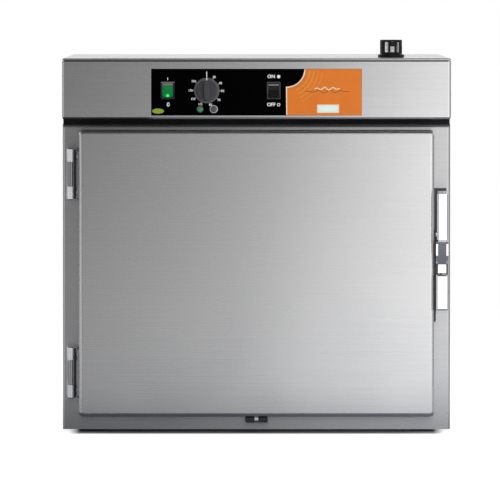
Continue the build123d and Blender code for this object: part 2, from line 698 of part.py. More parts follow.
def make_door_insulation():
    return door_block(DOOR_EDGE_RADIUS + FIT, DOOR_FRONT + SHEET, DOOR_BACK - SHEET)


def make_gasket():
    """A moulded ring of rubber on the inner sheet, which meets the front frame."""
    half = CHAMBER_HALF + GASKET_MARGIN
    low, high = CHAMBER_LOW - GASKET_MARGIN, CHAMBER_HIGH + GASKET_MARGIN
    back = -GASKET_CLEAR
    inside = rounded(block((-half, half), (DOOR_BACK - 1, back + 1), (low, high)), Axis.Y, GASKET_MARGIN)
    half, low, high = half + GASKET_WIDTH, low - GASKET_WIDTH, high + GASKET_WIDTH
    outside = block((-half, half), (DOOR_BACK, back), (low, high))
    ring = rounded(outside, Axis.Y, GASKET_MARGIN + GASKET_WIDTH) - inside
    return fillet(edges_at(ring, back), 3)


# Hinges


def hinge_frame_leaf(middle):
    """A foot on the front frame with two posts that carry the outer knuckles."""
    half = HINGE_HEIGHT / 2
    left = HINGE_X - (HINGE_FOOT_WIDTH - 2 * HINGE_PLATE + 4) / 2
    leaf = block((left, left + HINGE_FOOT_WIDTH), (-HINGE_FOOT, 0), (middle - half, middle + half))
    leaf = fillet(edges_along(leaf, Axis.Y), 2)
    for end in (-1, 1):
        z0, z1 = middle + end * half, middle + end * (half - HINGE_END_KNUCKLE)
        leaf += block((HINGE_X - 4, HINGE_X + 4), (HINGE_Y, -HINGE_FOOT), (z0, z1))
        leaf += rod_z(HINGE_RADIUS, HINGE_X, HINGE_Y, z0, z1)
    leaf -= rod_z(HINGE_PIN_RADIUS + RUNNING, HINGE_X, HINGE_Y, middle - half - 1, middle + half + 1)
    for x, z in hinge_screw_points():
        if abs(z - middle) < half:
            leaf -= rod_y(SCREW_RADIUS + RUNNING, x, -HINGE_FOOT - 1, 1, z)
    return leaf


def hinge_door_leaf(middle):
    """A plate on the door's upright edge with a web out to the middle knuckle."""
    half = HINGE_HEIGHT / 2
    reach = half - HINGE_END_KNUCKLE - KNUCKLE_GAP
    edge = -DOOR_HALF
    ys = (EDGE_PLATE_FRONT, DOOR_BACK - 5)
    plate = rounded(block((edge - HINGE_PLATE, edge), ys, (middle - half, middle + half)), Axis.X, 4)
    low, high = middle - reach, middle + reach
    plate += block((HINGE_X, edge - HINGE_PLATE), (HINGE_Y - 3, HINGE_Y + 3), (low, high))
    plate += rod_z(HINGE_RADIUS, HINGE_X, HINGE_Y, low, high)
    plate -= rod_z(HINGE_PIN_RADIUS + RUNNING, HINGE_X, HINGE_Y, middle - half, middle + half)
    for z in door_screw_levels():
        if abs(z - middle) < half:
            plate -= rod_x(SCREW_RADIUS + RUNNING, edge - HINGE_PLATE - 1, edge + 1, HINGE_Y, z)
    return plate


def make_hinge_pins():
    """A pin for each hinge, with a thin domed cap at both ends."""
    pins = []
    for middle in HINGE_MIDDLES:
        low, high = middle - HINGE_HEIGHT / 2, middle + HINGE_HEIGHT / 2
        pin = rod_z(HINGE_PIN_RADIUS, HINGE_X, HINGE_Y, low, high)
        pin += rod_z(HINGE_RADIUS - 0.5, HINGE_X, HINGE_Y, high, high + 1.2)
        pins.append(pin + rod_z(HINGE_RADIUS - 0.5, HINGE_X, HINGE_Y, low - 1.2, low))
    return pins


def make_casing_screws():
    """The screws of the rear sheets, of the hinge feet and of the strike."""
    points = rear_screw_points(BODY_BOTTOM, BODY_TOP) + rear_screw_points(HEAD_BOTTOM, FASCIA_TOP)
    screws = [screw_y(x, BODY_DEPTH, z, 1, SHEET - RUNNING) for x, z in points]
    screws += [screw_y(x, -HINGE_FOOT, z, -1, HINGE_FOOT + 4) for x, z in hinge_screw_points()]
    return screws + [screw_y(x, -STRIKE_PLATE, z, -1, STRIKE_PLATE + 4) for x, z in strike_screw_points()]


def screw_x(side, x, y, z, length):
    """A pan-head screw that enters an upright edge, with its head outside."""
    head = rod_x(SCREW_HEAD_RADIUS, x, x + side * SCREW_HEAD_HEIGHT, y, z)
    head = fillet(head.edges().filter_by(GeomType.CIRCLE).sort_by(Axis.X)[-1 if side > 0 else 0], 1)
    return head + rod_x(SCREW_RADIUS, x - side * length, x, y, z)


def make_door_screws():
    length = HINGE_PLATE + DOOR_EDGE_RADIUS - 0.5
    screws = [screw_x(-1, -DOOR_HALF - HINGE_PLATE, HINGE_Y, z, length) for z in door_screw_levels()]
    return screws + [screw_x(1, LATCH_LEFT, HINGE_Y, z, length) for z in latch_screw_levels()]


# Latch


def make_latch_body():
    """A plate on the door's free edge with a housing and two cheeks for the lever's pin."""
    plate_low, plate_high = LATCH_Z - 22, LATCH_Z + CHEEK_TOP + 22
    plate = block((DOOR_HALF, LATCH_LEFT), (EDGE_PLATE_FRONT, DOOR_BACK - 5), (plate_low, plate_high))
    plate = fillet(edges_along(plate, Axis.X), 5)
    middle = LATCH_Z + HOUSING_HEIGHT
    housing = block((LATCH_LEFT, LATCH_RIGHT), (HOUSING_FRONT, -HOUSING_BACK), (LATCH_Z, middle))
    housing = fillet(edges_at(housing, HOUSING_FRONT), 3.5)
    body = plate + housing
    front, back = PIVOT_Y - CHEEK_REACH, PIVOT_Y + CHEEK_REACH
    side = Polyline(
        (front, LATCH_Z + CHEEK_TOP - 4),
        (front + 4, LATCH_Z + CHEEK_TOP),
        (back - 4, LATCH_Z + CHEEK_TOP),
        (back + 8, LATCH_Z + CHEEK_TOP - 16),
        (back + 8, middle - 1),
        (front + 22, middle - 1),
        (front, PIVOT_Z - 2),
        close=True,
    )
    cheek = extrude(Plane.YZ * make_face(side), amount=CHEEK)
    for x in (LATCH_LEFT, LATCH_RIGHT - CHEEK):
        body += Pos(x, 0, 0) * cheek
    body -= rod_x(LEVER_PIN_RADIUS + PRESSED, LATCH_LEFT + 1, LATCH_RIGHT + 1, PIVOT_Y, PIVOT_Z)
    for z in latch_screw_levels():
        body -= rod_x(SCREW_RADIUS + RUNNING, DOOR_HALF - 1, LATCH_LEFT + 1, HINGE_Y, z)
    return body


def make_latch_pin():
    return rod_x(LEVER_PIN_RADIUS, LATCH_LEFT + 1.2, LATCH_RIGHT + 0.8, PIVOT_Y, PIVOT_Z)


def make_latch_lever():
    """The pull lever: a wide grip above a narrow neck, with a hook arm towards the frame."""
    tail, square = LATCH_Z + HOUSING_HEIGHT + 3.5, PIVOT_Z - 17.5
    grip_low, grip_high = LATCH_Z + CHEEK_TOP + 4, LATCH_Z + LEVER_TOP
    grip_back = LEVER_FRONT + LEVER_GRIP_DEPTH
    side = Polyline(
        (PIVOT_Y - 10, tail),
        (PIVOT_Y - 10, square),
        (LEVER_FRONT + 2, grip_low),
        (LEVER_FRONT + 2, grip_low + 4),
        (grip_back - 1, grip_low + 4),
        (PIVOT_Y + 7, PIVOT_Z + 12),
        (PIVOT_Y + 7, tail),
        close=True,
    )
    neck = extrude(Plane.YZ * make_face(side), amount=LEVER_NECK_WIDTH / 2, both=True)
    half = LEVER_GRIP_WIDTH / 2
    grip = block((-half, half), (LEVER_FRONT, grip_back), (grip_low, grip_high))
    grip = fillet(edges_at(grip, LEVER_FRONT).filter_by(Axis.Z), 4)
    grip = fillet(edges_at(grip, grip_back).filter_by(Axis.Z), 2)
    grip = fillet(grip.faces().sort_by(Axis.Z)[-1].edges(), 1.5)
    half = HOOK_WIDTH / 2
    low = ROLLER_Z + STRIKE_ROLLER_RADIUS + HOOK_CLEAR
    hook = block((-half, half), (PIVOT_Y, ROLLER_Y + 6), (low, low + HOOK_HEIGHT))
    lever = Pos(LATCH_X, 0, 0) * (neck + grip + hook)
    return lever - rod_x(LEVER_PIN_RADIUS + RUNNING, LATCH_X - 20, LATCH_X + 20, PIVOT_Y, PIVOT_Z)


def make_strike():
    """A plate on the front frame with two cheeks that hold the strike's roller."""
    half, reach = LATCH_WIDTH / 2 - 2, STRIKE_HEIGHT / 2
    xs, zs = (LATCH_X - half, LATCH_X + half), (ROLLER_Z - reach, ROLLER_Z + reach)
    plate = block(xs, (-STRIKE_PLATE, 0), zs)
    plate = rounded(plate, Axis.Y, 3)
    near = HOOK_WIDTH / 2 + 1
    ys, zs = (ROLLER_Y - 6, -STRIKE_PLATE), (ROLLER_Z - 9, ROLLER_Z + 9)
    for side in (-1, 1):
        plate += block((LATCH_X + side * near, LATCH_X + side * (near + 2.5)), ys, zs)
    plate -= rod_x(SMALL_PIN_RADIUS + RUNNING, LATCH_X - 20, LATCH_X + 20, ROLLER_Y, ROLLER_Z)
    for x, z in strike_screw_points():
        plate -= rod_y(SCREW_RADIUS + RUNNING, x, -STRIKE_PLATE - 1, 1, z)
    return plate


def make_strike_roller():
    half = HOOK_WIDTH / 2 + 1 - FIT
    roller = rod_x(STRIKE_ROLLER_RADIUS, LATCH_X - half, LATCH_X + half, ROLLER_Y, ROLLER_Z)
    end = HOOK_WIDTH / 2 + 3.5
    return roller + rod_x(SMALL_PIN_RADIUS, LATCH_X - end, LATCH_X + end, ROLLER_Y, ROLLER_Z)


# Door rest


def make_door_rest():
    """A block on the front frame whose roller carries the middle of the closed door."""
    half = REST_WIDTH / 2
    top = REST_Z + REST_ROLLER_RADIUS - 1.2
    rest = block((-half, half), (-REST_DEPTH, 0), (top - REST_HEIGHT, top))
    rest = rounded(rest, Axis.Z, 1.5)
    slot_half = REST_ROLLER_WIDTH / 2 + FIT
    ys = (-REST_DEPTH - 1, REST_Y + REST_ROLLER_RADIUS + 1)
    rest -= block((-slot_half, slot_half), ys, (top - REST_HEIGHT - 1, top + 1))
    return rest - rod_x(SMALL_PIN_RADIUS + RUNNING, -half - 1, half + 1, REST_Y, REST_Z)


def make_rest_roller():
    half = REST_ROLLER_WIDTH / 2
    roller = rod_x(REST_ROLLER_RADIUS, -half, half, REST_Y, REST_Z)
    return roller + rod_x(SMALL_PIN_RADIUS, -REST_WIDTH / 2 + 1, REST_WIDTH / 2 - 1, REST_Y, REST_Z)


# Head casing


def control_cuts(y0, y1):
    """The openings for switches, knob neck and lamps, as solids that are cut from a sheet."""
    width, height = SWITCH_BODY_SIZE
    cut = rod_y(5, KNOB_X, y0, y1, SWITCH_Z)
    for x in (POWER_SWITCH_X, HUMIDITY_SWITCH_X):
        half_x, half_z = width / 2 + FIT, height / 2 + FIT
        cut += block((x - half_x, x + half_x), (y0, y1), (SWITCH_Z - half_z, SWITCH_Z + half_z))
    for x in LAMP_XS.values():
        cut += rod_y(LAMP_BODY_RADIUS + FIT, x, y0, y1, LAMP_Z)
    return cut


def make_fascia():
    return folded_front(HEAD_BOTTOM, FASCIA_TOP, HEAD_FRONT, control_cuts(HEAD_FRONT - 1, HEAD_FRONT + 3))


def make_overlay():
    half = OVERLAY_WIDTH / 2
    zs = (HEAD_BOTTOM + OVERLAY_BOTTOM, FASCIA_TOP - OVERLAY_TOP_MARGIN)
    film = block((-half, half), (PANEL_Y, HEAD_FRONT), zs)
    return rounded(film, Axis.Y, 1.0) - control_cuts(PANEL_Y - 1, HEAD_FRONT + 1)


def make_head_floor():
    half = HALF - SHEET - FIT
    ys = (HEAD_FRONT + EDGE_RADIUS + 1, BODY_DEPTH - 2 * SHEET - FIT)
    floor = block((-half, half), ys, (HEAD_BOTTOM + SHEET, FLOOR_DECK))
    floor -= rod_z(VENT_PIPE_RADIUS + FIT, VENT_X, VENT_Y, HEAD_BOTTOM, FLOOR_DECK + 1)
    return floor - rod_z(SENSOR_HOLE, SENSOR_X, SENSOR_Y, HEAD_BOTTOM, FLOOR_DECK + 1) + make_rail()


def make_top_cover():
    """The roof: a shallow pan with a folded rim that returns inwards at its bottom."""
    low = HEAD_TOP - COVER_LIP
    cover = block((-HALF, HALF), (HEAD_FRONT, BODY_DEPTH), (low, HEAD_TOP))
    cover = rounded(cover, Axis.Z, EDGE_RADIUS)
    cover = fillet(cover.faces().sort_by(Axis.Z)[-1].edges(), 2.4)
    half, front, back = HALF - SHEET, HEAD_FRONT + SHEET, BODY_DEPTH - SHEET
    hollow = block((-half, half), (front, back), (low + SHEET, HEAD_TOP - SHEET))
    cover -= rounded(hollow, Axis.Z, EDGE_RADIUS - SHEET)
    half, front, back = half - FLANGE, front + FLANGE, back - FLANGE
    cover -= block((-half, half), (front, back), (low - 1, low + SHEET + 1))
    return cover - rod_z(VENT_PIPE_RADIUS + FIT, VENT_X, VENT_Y, low, HEAD_TOP + 1)


def strip_ring(front, back, inset, width, low, high):
    """Four butted strips that go round the casing, set in from its outline."""
    half = HALF - inset
    y0, y1 = front + inset, back - inset
    strips = [block((-half, half), ys, (low, high)) for ys in ((y0, y0 + width), (y1 - width, y1))]
    for side in (-1, 1):
        strips.append(block((side * half, side * (half - width)), (y0 + width, y1 - width), (low, high)))
    return strips


def make_cover_seal():
    return strip_ring(HEAD_FRONT, BODY_DEPTH, 2.0, 9.0, FASCIA_TOP, FASCIA_TOP + COVER_SEAL)


def make_head_spacer():
    return strip_ring(0, BODY_DEPTH, 1.0, 25.0, BODY_TOP, HEAD_BOTTOM)


# Controls


def switch_block(x, size, y0, y1):
    width, height = size
    return block((x - width / 2, x + width / 2), (y0, y1), (SWITCH_Z - height / 2, SWITCH_Z + height / 2))


def make_switch_housing(x):
    """A snap-in housing: bezel, body with a round-backed well, and terminal blades."""
    front, back = PANEL_Y - BEZEL_THICKNESS, PANEL_Y + SWITCH_BODY_DEPTH
    bezel = rounded(switch_block(x, BEZEL_SIZE, front, PANEL_Y), Axis.Y, 2)
    bezel = fillet(edges_at(bezel, front), 0.8)
    housing = bezel + switch_block(x, SWITCH_BODY_SIZE, PANEL_Y, back)
    well = ROCKER_WIDTH / 2 + ROCKER_CLEAR
    housing -= rod_x(SWITCH_BORE_RADIUS, x - well, x + well, ROCKER_Y, SWITCH_Z)
    housing -= rod_x(SMALL_PIN_RADIUS + RUNNING, x - well - 0.7, x + well + 0.7, ROCKER_Y, SWITCH_Z)
    for z in (-9.0, 0.0, 9.0):
        housing += block((x - 3.1, x + 3.1), (back, back + 8), (SWITCH_Z + z - 0.4, SWITCH_Z + z + 0.4))
    return housing


def make_rocker(x):
    """A rocker with a shallow V front, drawn level and then tilted with its top pressed in."""
    rise = math.tan(math.radians(ROCKER_TILT))
    crest, reach, back = 3.0, ROCKER_RADIUS + 1, 9.0
    tip = -crest - rise * reach
    side = Polyline((-crest, 0), (tip, reach), (back, reach), (back, -reach), (tip, -reach), close=True)
    outline = make_face(side) & Circle(ROCKER_RADIUS)
    rocker = extrude(Plane.YZ * outline, amount=ROCKER_WIDTH / 2, both=True)
    rocker += rod_x(SMALL_PIN_RADIUS, -ROCKER_WIDTH / 2 - 0.9, ROCKER_WIDTH / 2 + 0.9, 0, 0)
    return Pos(x, ROCKER_Y, SWITCH_Z) * Rot(-ROCKER_TILT, 0, 0) * rocker


def make_knob():
    """A skirted control knob on its shaft, with a grooved rim and a raised grip bar."""
    back = PANEL_Y - KNOB_GAP
    skirt = rod_y(KNOB_SKIRT_RADIUS, 0, back - 3, back, 0)
    skirt = fillet(skirt.edges().filter_by(GeomType.CIRCLE).sort_by(Axis.Y)[0], 1.2)
    body = rod_y(KNOB_BODY_RADIUS, 0, back - 12, back - 3, 0)
    body = fillet(body.edges().filter_by(GeomType.CIRCLE).sort_by(Axis.Y)[0], 1.5)
    for index in range(24):
        groove = rod_y(0.9, KNOB_BODY_RADIUS + 0.3, back - 13, back - 3, 0)
        body -= Rot(0, index * 15 + 7.5, 0) * groove
    bar = block((-5, 5), (back - KNOB_LENGTH, back - 10), (-KNOB_BODY_RADIUS + 1.5, KNOB_BODY_RADIUS - 1.5))
    bar = fillet(edges_along(bar, Axis.Y), 3)
    bar = fillet(bar.faces().sort_by(Axis.Y)[0].edges(), 1.5)
    knob = skirt + body + bar + rod_y(SHAFT_RADIUS, 0, back, PANEL_Y + 24, 0)
    return Pos(KNOB_X, 0, SWITCH_Z) * knob


def make_thermostat():
    """The thermostat's body behind the fascia, with a neck that the shaft turns in."""
    front, half = HEAD_FRONT + SHEET, 18.0
    back = front + THERMOSTAT_DEPTH
    body = block((KNOB_X - half, KNOB_X + half), (front, back), (SWITCH_Z - half, SWITCH_Z + half))
    body = rounded(body, Axis.Y, 3) + rod_y(4.6, KNOB_X, PANEL_Y, front, SWITCH_Z)
    body -= rod_y(SHAFT_RADIUS + RUNNING, KNOB_X, PANEL_Y - 1, PANEL_Y + 26, SWITCH_Z)
    for x in (-9.0, 0.0, 9.0):
        blade_x, blade_z = KNOB_X + x, SWITCH_Z - half
        body += block((blade_x - 0.4, blade_x + 0.4), (front + 12, front + 18.3), (blade_z - 8, blade_z))
    return body


def make_thermostat_sensor():
    """The capillary from the thermostat to its bulb, bent round three corners."""
    x, y, z = SENSOR_X, SENSOR_Y, SWITCH_Z + 10
    start, above = (x, HEAD_FRONT + SHEET + THERMOSTAT_DEPTH, z), FLOOR_DECK + 40
    points = [start, (x, 60, z), (x, y - 60, above), (x, y, above), (x, y, CHAMBER_HIGH - 6)]
    bulb = rod_z(BULB_RADIUS, x, y, CHAMBER_HIGH - BULB_LENGTH - 5, CHAMBER_HIGH - 5)
    return tube(points, SENSOR_RADIUS, 22) + fillet(bulb.edges().filter_by(GeomType.CIRCLE), 2)


def make_lamp(x):
    """A round pilot lamp: a domed lens outside and its barrel through the fascia."""
    lens = rod_y(LAMP_LENS_RADIUS, x, PANEL_Y - 4, PANEL_Y, LAMP_Z)
    lens = fillet(lens.edges().filter_by(GeomType.CIRCLE).sort_by(Axis.Y)[0], 3)
    barrel = rod_y(LAMP_BODY_RADIUS, x, PANEL_Y, PANEL_Y + 26, LAMP_Z)
    return lens + barrel


# Electrical parts


def make_rail():
    """The top-hat mounting rail that is spot-welded to the head's floor."""
    y0, y1 = RAIL_Y - RAIL_WIDTH / 2, RAIL_Y + RAIL_WIDTH / 2
    half, base, top = RAIL_LENGTH / 2, FLOOR_DECK, FLOOR_DECK + RAIL_HEIGHT
    rail = block((-half, half), (y0 + 5, y1 - 5), (base, base + 1))
    for a, b, outer in ((y0 + 5, y0 + 6, y0), (y1 - 6, y1 - 5, y1)):
        rail += block((-half, half), (a, b), (base, top))
        rail += block((-half, half), (min(a, outer), max(b, outer)), (top - 1, top))
    return rail


def make_contactor():
    width, depth, height = CONTACTOR_SIZE
    base, top = FLOOR_DECK + RAIL_HEIGHT, FLOOR_DECK + RAIL_HEIGHT + height
    xs = (CONTACTOR_X - width / 2, CONTACTOR_X + width / 2)
    body = block(xs, (RAIL_Y - depth / 2, RAIL_Y + depth / 2), (base, top - 16))
    return body + block(xs, (RAIL_Y - depth / 4, RAIL_Y + depth / 4), (top - 16, top))


def make_terminal_blocks():
    base = FLOOR_DECK + RAIL_HEIGHT
    rows = []
    for index in range(TERMINALS):
        x = 20 + index * TERMINAL_PITCH
        cell = block((x, x + TERMINAL_PITCH - 0.4), (RAIL_Y - 24, RAIL_Y + 24), (base, base + 28))
        cell += block((x, x + TERMINAL_PITCH - 0.4), (RAIL_Y - 12, RAIL_Y + 12), (base + 27, base + 42))
        rows.append(cell)
    return rows


# Steam vent


def make_vent_pipe():
    """The duct from the chamber's ceiling to the roof, with a welded flange at its foot."""
    low = CHAMBER_HIGH + SHEET
    pipe = rod_z(VENT_PIPE_RADIUS, VENT_X, VENT_Y, low, HEAD_TOP)
    return pipe - rod_z(VENT_PIPE_BORE, VENT_X, VENT_Y, low - 1, HEAD_TOP + 1)


def make_vent_base():
    """A flange on the roof with a short collar that the cap turns on."""
    base = rod_z(VENT_FLANGE_RADIUS, VENT_X, VENT_Y, HEAD_TOP, VENT_SEAT)
    base = fillet(base.edges().filter_by(GeomType.CIRCLE).sort_by(Axis.Z)[-1], 1.5)
    collar = VENT_CAP_RADIUS - VENT_CAP_WALL - FIT
    base += rod_z(collar, VENT_X, VENT_Y, VENT_SEAT, VENT_SEAT + 2.5)
    return base - rod_z(VENT_PIPE_BORE, VENT_X, VENT_Y, HEAD_TOP - 1, VENT_SEAT + 5)


def make_vent_cap():
    """A turning cap with slots of two heights, and a notch over each short one."""
    low, high = VENT_SEAT + 0.3, VENT_SEAT + 0.3 + VENT_CAP_HEIGHT
    cap = rod_z(VENT_CAP_RADIUS, VENT_X, VENT_Y, low, high)
    cap = fillet(cap.edges().filter_by(GeomType.CIRCLE).sort_by(Axis.Z)[-1], 1.5)
    cap -= rod_z(VENT_CAP_RADIUS - VENT_CAP_WALL, VENT_X, VENT_Y, low - 1, high - 3)
    half, reach = VENT_SLOT / 2, (VENT_CAP_RADIUS - 8, VENT_CAP_RADIUS + 1)
    tall = block(reach, (-half, half), (low + 3, low + VENT_TALL_SLOT))
    short = block(reach, (-half, half), (low + 3, low + VENT_SHORT_SLOT))
    short += block(reach, (2 - half, half - 2), (high - 4, high + 1))
    for cut, angles in ((tall, VENT_TALL_ANGLES), (short, VENT_SHORT_ANGLES)):
        for angle in angles:
            cap -= Pos(VENT_X, VENT_Y, 0) * Rot(0, 0, angle - 90) * cut
    return cap


# Services


def make_drain():
    """The drain, from the chamber's floor round a bend to the hose spigot at the back."""
    z = BODY_BOTTOM + DRAIN_LOW
    points = [(0, DRAIN_Y, CHAMBER_LOW - SHEET), (0, DRAIN_Y, z), (0, REAR_REACH, z)]
    drain = tube(points, DRAIN_RADIUS, 20) + rod_y(SPIGOT_RADIUS, 0, BODY_DEPTH, REAR_REACH, z)
    return drain - tube(points, DRAIN_BORE, 20)


def make_cable_gland():
    """A cable gland in the rear panel: lock nut, thread, hexagon and clamping dome."""
    face = BODY_DEPTH
    plane = Plane(origin=(GLAND_X, face, SERVICE_Z), z_dir=(0, 1, 0))
    hexagon = extrude(plane * RegularPolygon(GLAND_RADIUS + 2, 6), amount=8)
    dome = rod_y(GLAND_RADIUS, GLAND_X, face + 8, REAR_REACH, SERVICE_Z)
    dome = fillet(dome.edges().filter_by(GeomType.CIRCLE).sort_by(Axis.Y)[-1], 3)
    gland = hexagon + dome + rod_y(GLAND_RADIUS - 2, GLAND_X, face - 10, face, SERVICE_Z)
    gland += rod_y(GLAND_RADIUS + 2, GLAND_X, face - SHEET - 5, face - SHEET, SERVICE_Z)
    return gland - rod_y(GLAND_BORE, GLAND_X, face - 11, REAR_REACH + 1, SERVICE_Z)


def make_water_valve():
    """A solenoid valve inside the rear panel, with its threaded inlet sticking out."""
    width, depth, height = VALVE_SIZE
    back = BODY_DEPTH - SHEET
    low = SERVICE_Z - 18
    body = block((VALVE_X - width / 2, VALVE_X + width / 2), (back - depth, back), (low, low + height))
    body = rounded(body, Axis.Y, 4)
    body += rod_y(VALVE_NECK_RADIUS, VALVE_X, back, BODY_DEPTH, SERVICE_Z)
    body += rod_y(VALVE_THREAD_RADIUS, VALVE_X, BODY_DEPTH, REAR_REACH - 2, SERVICE_Z)
    body += rod_z(6, VALVE_X, back - depth / 2, low + height, low + height + 10)
    return body - rod_y(VALVE_BORE, VALVE_X, back - 12, REAR_REACH, SERVICE_Z)


def water_pipe_high():
    return CHAMBER_MID + HEATER_RING_RADIUS + 25


def make_water_pipe():
    """The thin pipe from the valve through the back wall to the middle of the fan."""
    y = BODY_DEPTH - SHEET - VALVE_SIZE[1] / 2
    start = (VALVE_X, y, SERVICE_Z - 18 + VALVE_SIZE[2] + 10)
    high = water_pipe_high()
    inside = (FAN_FRONT + BAFFLE_Y + SHEET) / 2
    points = [start, (VALVE_X, y, high), (VALVE_X, inside, high), (16, inside, CHAMBER_MID + 14)]
    return tube(points, WATER_PIPE_RADIUS, 14)


def main():
    os.makedirs("parts", exist_ok=True)
    save("front_frame", make_front_frame())
    save("left_side_panel", side_panel(-1, BODY_BOTTOM, BODY_TOP, RETURN_DEPTH + SEAM))
    save("right_side_panel", side_panel(1, BODY_BOTTOM, BODY_TOP, RETURN_DEPTH + SEAM))
    save("base_panel", make_base_panel())
    save("base_glides", *make_glides())
    save("body_deck", make_body_deck())
    save("rear_panel", make_rear_panel())
    save("casing_screws", *make_casing_screws())
    save("chamber_liner", make_chamber_liner())
    save("insulation_slabs", *make_insulation())
    save("rack_left", *make_rack(-1))
    save("rack_right", *make_rack(1))
    save("fan_wheel", make_fan_wheel())
    save("motor_bracket", make_motor_bracket())
    save("fan_motor", make_fan_motor())
    save("heater_ring", make_heater())
    save("fan_baffle", make_baffle())
    save("baffle_nuts", *make_baffle_nuts())
    save("door_skin", make_door_skin())
    save("door_inner_sheet", make_door_inner())
    save("door_insulation", make_door_insulation())
    save("door_gasket", make_gasket())
    save("hinge_frame_leaves", *[hinge_frame_leaf(middle) for middle in HINGE_MIDDLES])
    save("hinge_door_leaves", *[hinge_door_leaf(middle) for middle in HINGE_MIDDLES])
    save("hinge_pins", *make_hinge_pins())
    save("door_screws", *make_door_screws())
    save("latch_body", make_latch_body())
    save("latch_pin", make_latch_pin())
    save("latch_lever", make_latch_lever())
    save("latch_strike", make_strike())
    save("strike_roller", make_strike_roller())
    save("door_rest", make_door_rest())
    save("door_rest_roller", make_rest_roller())
    save("head_fascia", make_fascia())
    head_start = HEAD_FRONT + RETURN_DEPTH + SEAM
    save("head_left_panel", side_panel(-1, HEAD_BOTTOM, FASCIA_TOP, head_start))
    save("head_right_panel", side_panel(1, HEAD_BOTTOM, FASCIA_TOP, head_start))
    save("head_floor", make_head_floor())
    save("head_rear_panel", make_head_rear_panel())
    save("top_cover", make_top_cover())
    save("cover_seal", *make_cover_seal())
    save("head_spacer", *make_head_spacer())
    save("control_overlay", make_overlay())
    save("power_switch_housing", make_switch_housing(POWER_SWITCH_X))
    save("power_rocker", make_rocker(POWER_SWITCH_X))
    save("humidity_switch_housing", make_switch_housing(HUMIDITY_SWITCH_X))
    save("humidity_rocker", make_rocker(HUMIDITY_SWITCH_X))
    save("thermostat", make_thermostat())
    save("thermostat_sensor", make_thermostat_sensor())
    save("thermostat_knob", make_knob())
    for name, x in LAMP_XS.items():
        save(name, make_lamp(x))
    save("contactor", make_contactor())
    save("terminal_blocks", *make_terminal_blocks())
    save("vent_pipe", make_vent_pipe())
    save("vent_base", make_vent_base())
    save("vent_cap", make_vent_cap())
    save("drain_pipe", make_drain())
    save("cable_gland", make_cable_gland())
    save("water_valve", make_water_valve())
    save("water_pipe", make_water_pipe())


main()
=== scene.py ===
import math

import bmesh
import bpy
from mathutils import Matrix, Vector, noise


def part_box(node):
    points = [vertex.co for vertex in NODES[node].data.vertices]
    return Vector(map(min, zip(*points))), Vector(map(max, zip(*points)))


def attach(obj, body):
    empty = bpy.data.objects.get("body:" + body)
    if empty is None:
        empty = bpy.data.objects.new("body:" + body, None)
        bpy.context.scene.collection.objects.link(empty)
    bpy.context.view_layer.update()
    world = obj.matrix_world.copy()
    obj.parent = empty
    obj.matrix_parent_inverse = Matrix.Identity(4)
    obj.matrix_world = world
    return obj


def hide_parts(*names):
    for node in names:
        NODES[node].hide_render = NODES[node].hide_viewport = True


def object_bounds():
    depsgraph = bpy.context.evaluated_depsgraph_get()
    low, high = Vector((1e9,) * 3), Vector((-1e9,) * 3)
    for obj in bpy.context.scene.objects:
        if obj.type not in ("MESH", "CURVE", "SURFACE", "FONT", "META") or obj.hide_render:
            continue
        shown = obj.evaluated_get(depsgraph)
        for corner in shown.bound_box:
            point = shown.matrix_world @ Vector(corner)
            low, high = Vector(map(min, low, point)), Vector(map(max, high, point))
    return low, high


# The looks of a food regeneration oven: a brushed steel cabinet with one hinged door and a control
# head. The axes are the frame's own: X to the right, Y to the back, Z up. Sizes are in metres, apart
# from the sections and functions that say millimetres.

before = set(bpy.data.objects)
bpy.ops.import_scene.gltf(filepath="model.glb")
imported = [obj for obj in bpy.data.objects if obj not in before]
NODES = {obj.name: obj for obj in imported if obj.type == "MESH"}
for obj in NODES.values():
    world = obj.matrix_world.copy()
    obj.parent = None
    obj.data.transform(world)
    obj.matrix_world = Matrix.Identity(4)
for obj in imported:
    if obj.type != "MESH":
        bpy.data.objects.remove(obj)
cad_low, cad_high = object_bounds()
MM = 0.001

# Places taken from the frame

overlay_low, overlay_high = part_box("control_overlay")
knob_low, knob_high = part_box("thermostat_knob")
door_low, door_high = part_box("door_skin")
fascia_low, fascia_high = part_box("head_fascia")
frame_low, frame_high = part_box("front_frame")
PANEL_Y = overlay_low.y
BODY_FRONT = frame_low.y
BODY_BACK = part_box("rear_panel")[1].y
KNOB_X = (knob_low.x + knob_high.x) / 2
KNOB_Z = (knob_low.z + knob_high.z) / 2

# The photograph: its side in pixels, the size of a pixel at the oven's front, the column of the oven's
# middle and the row where its front meets the floor

PHOTO_SIDE = 500
PIXEL = 0.0018
MIDDLE_COLUMN = 256.5
FLOOR_ROW = 433.3

# The light panel in front of the oven: its depth, half width, height and greatest brightness, and how
# bright it is at its side places, high up and low down

CARD_Y = -1.25
CARD_HALF = 2.4
CARD_TOP = 1.05
BRIGHTEST = 2.0
UPPER_LIGHT = ((-2.4, 0.8), (-1.0, 0.55), (-0.5, 0.23), (-0.1, 0.48), (0.04, 0.63),
               (0.2, 0.96), (0.38, 1.45), (0.6, 1.8), (0.9, 1.7), (1.25, 0.8))
LOWER_LIGHT = ((-2.4, 0.9), (-0.9, 0.75), (-0.5, 0.42), (-0.1, 0.7), (0.02, 0.86),
               (0.12, 1.12), (0.33, 1.4), (0.9, 1.4), (1.25, 0.8))

# Soft boxes: name, place, target, size and power

SOFT_BOXES = (
    ("right_box", (2.4, -0.2, 1.0), (0, 0, 0.35), (1.4, 1.8), 26),
    ("left_box", (-2.4, 0.4, 1.1), (0, 0.1, 0.35), (1.2, 1.8), 12),
    ("back_box", (1.0, 2.2, 2.1), (0, 0, 0.35), (1.6, 1.2), 16),
    ("top_box", (0.2, -0.3, 2.6), (0, 0, 0.4), (2.0, 1.6), 22),
    ("key_box", (0.5, -3.0, 1.9), (0, 0, 0.5), (2.0, 1.4), 25),
)

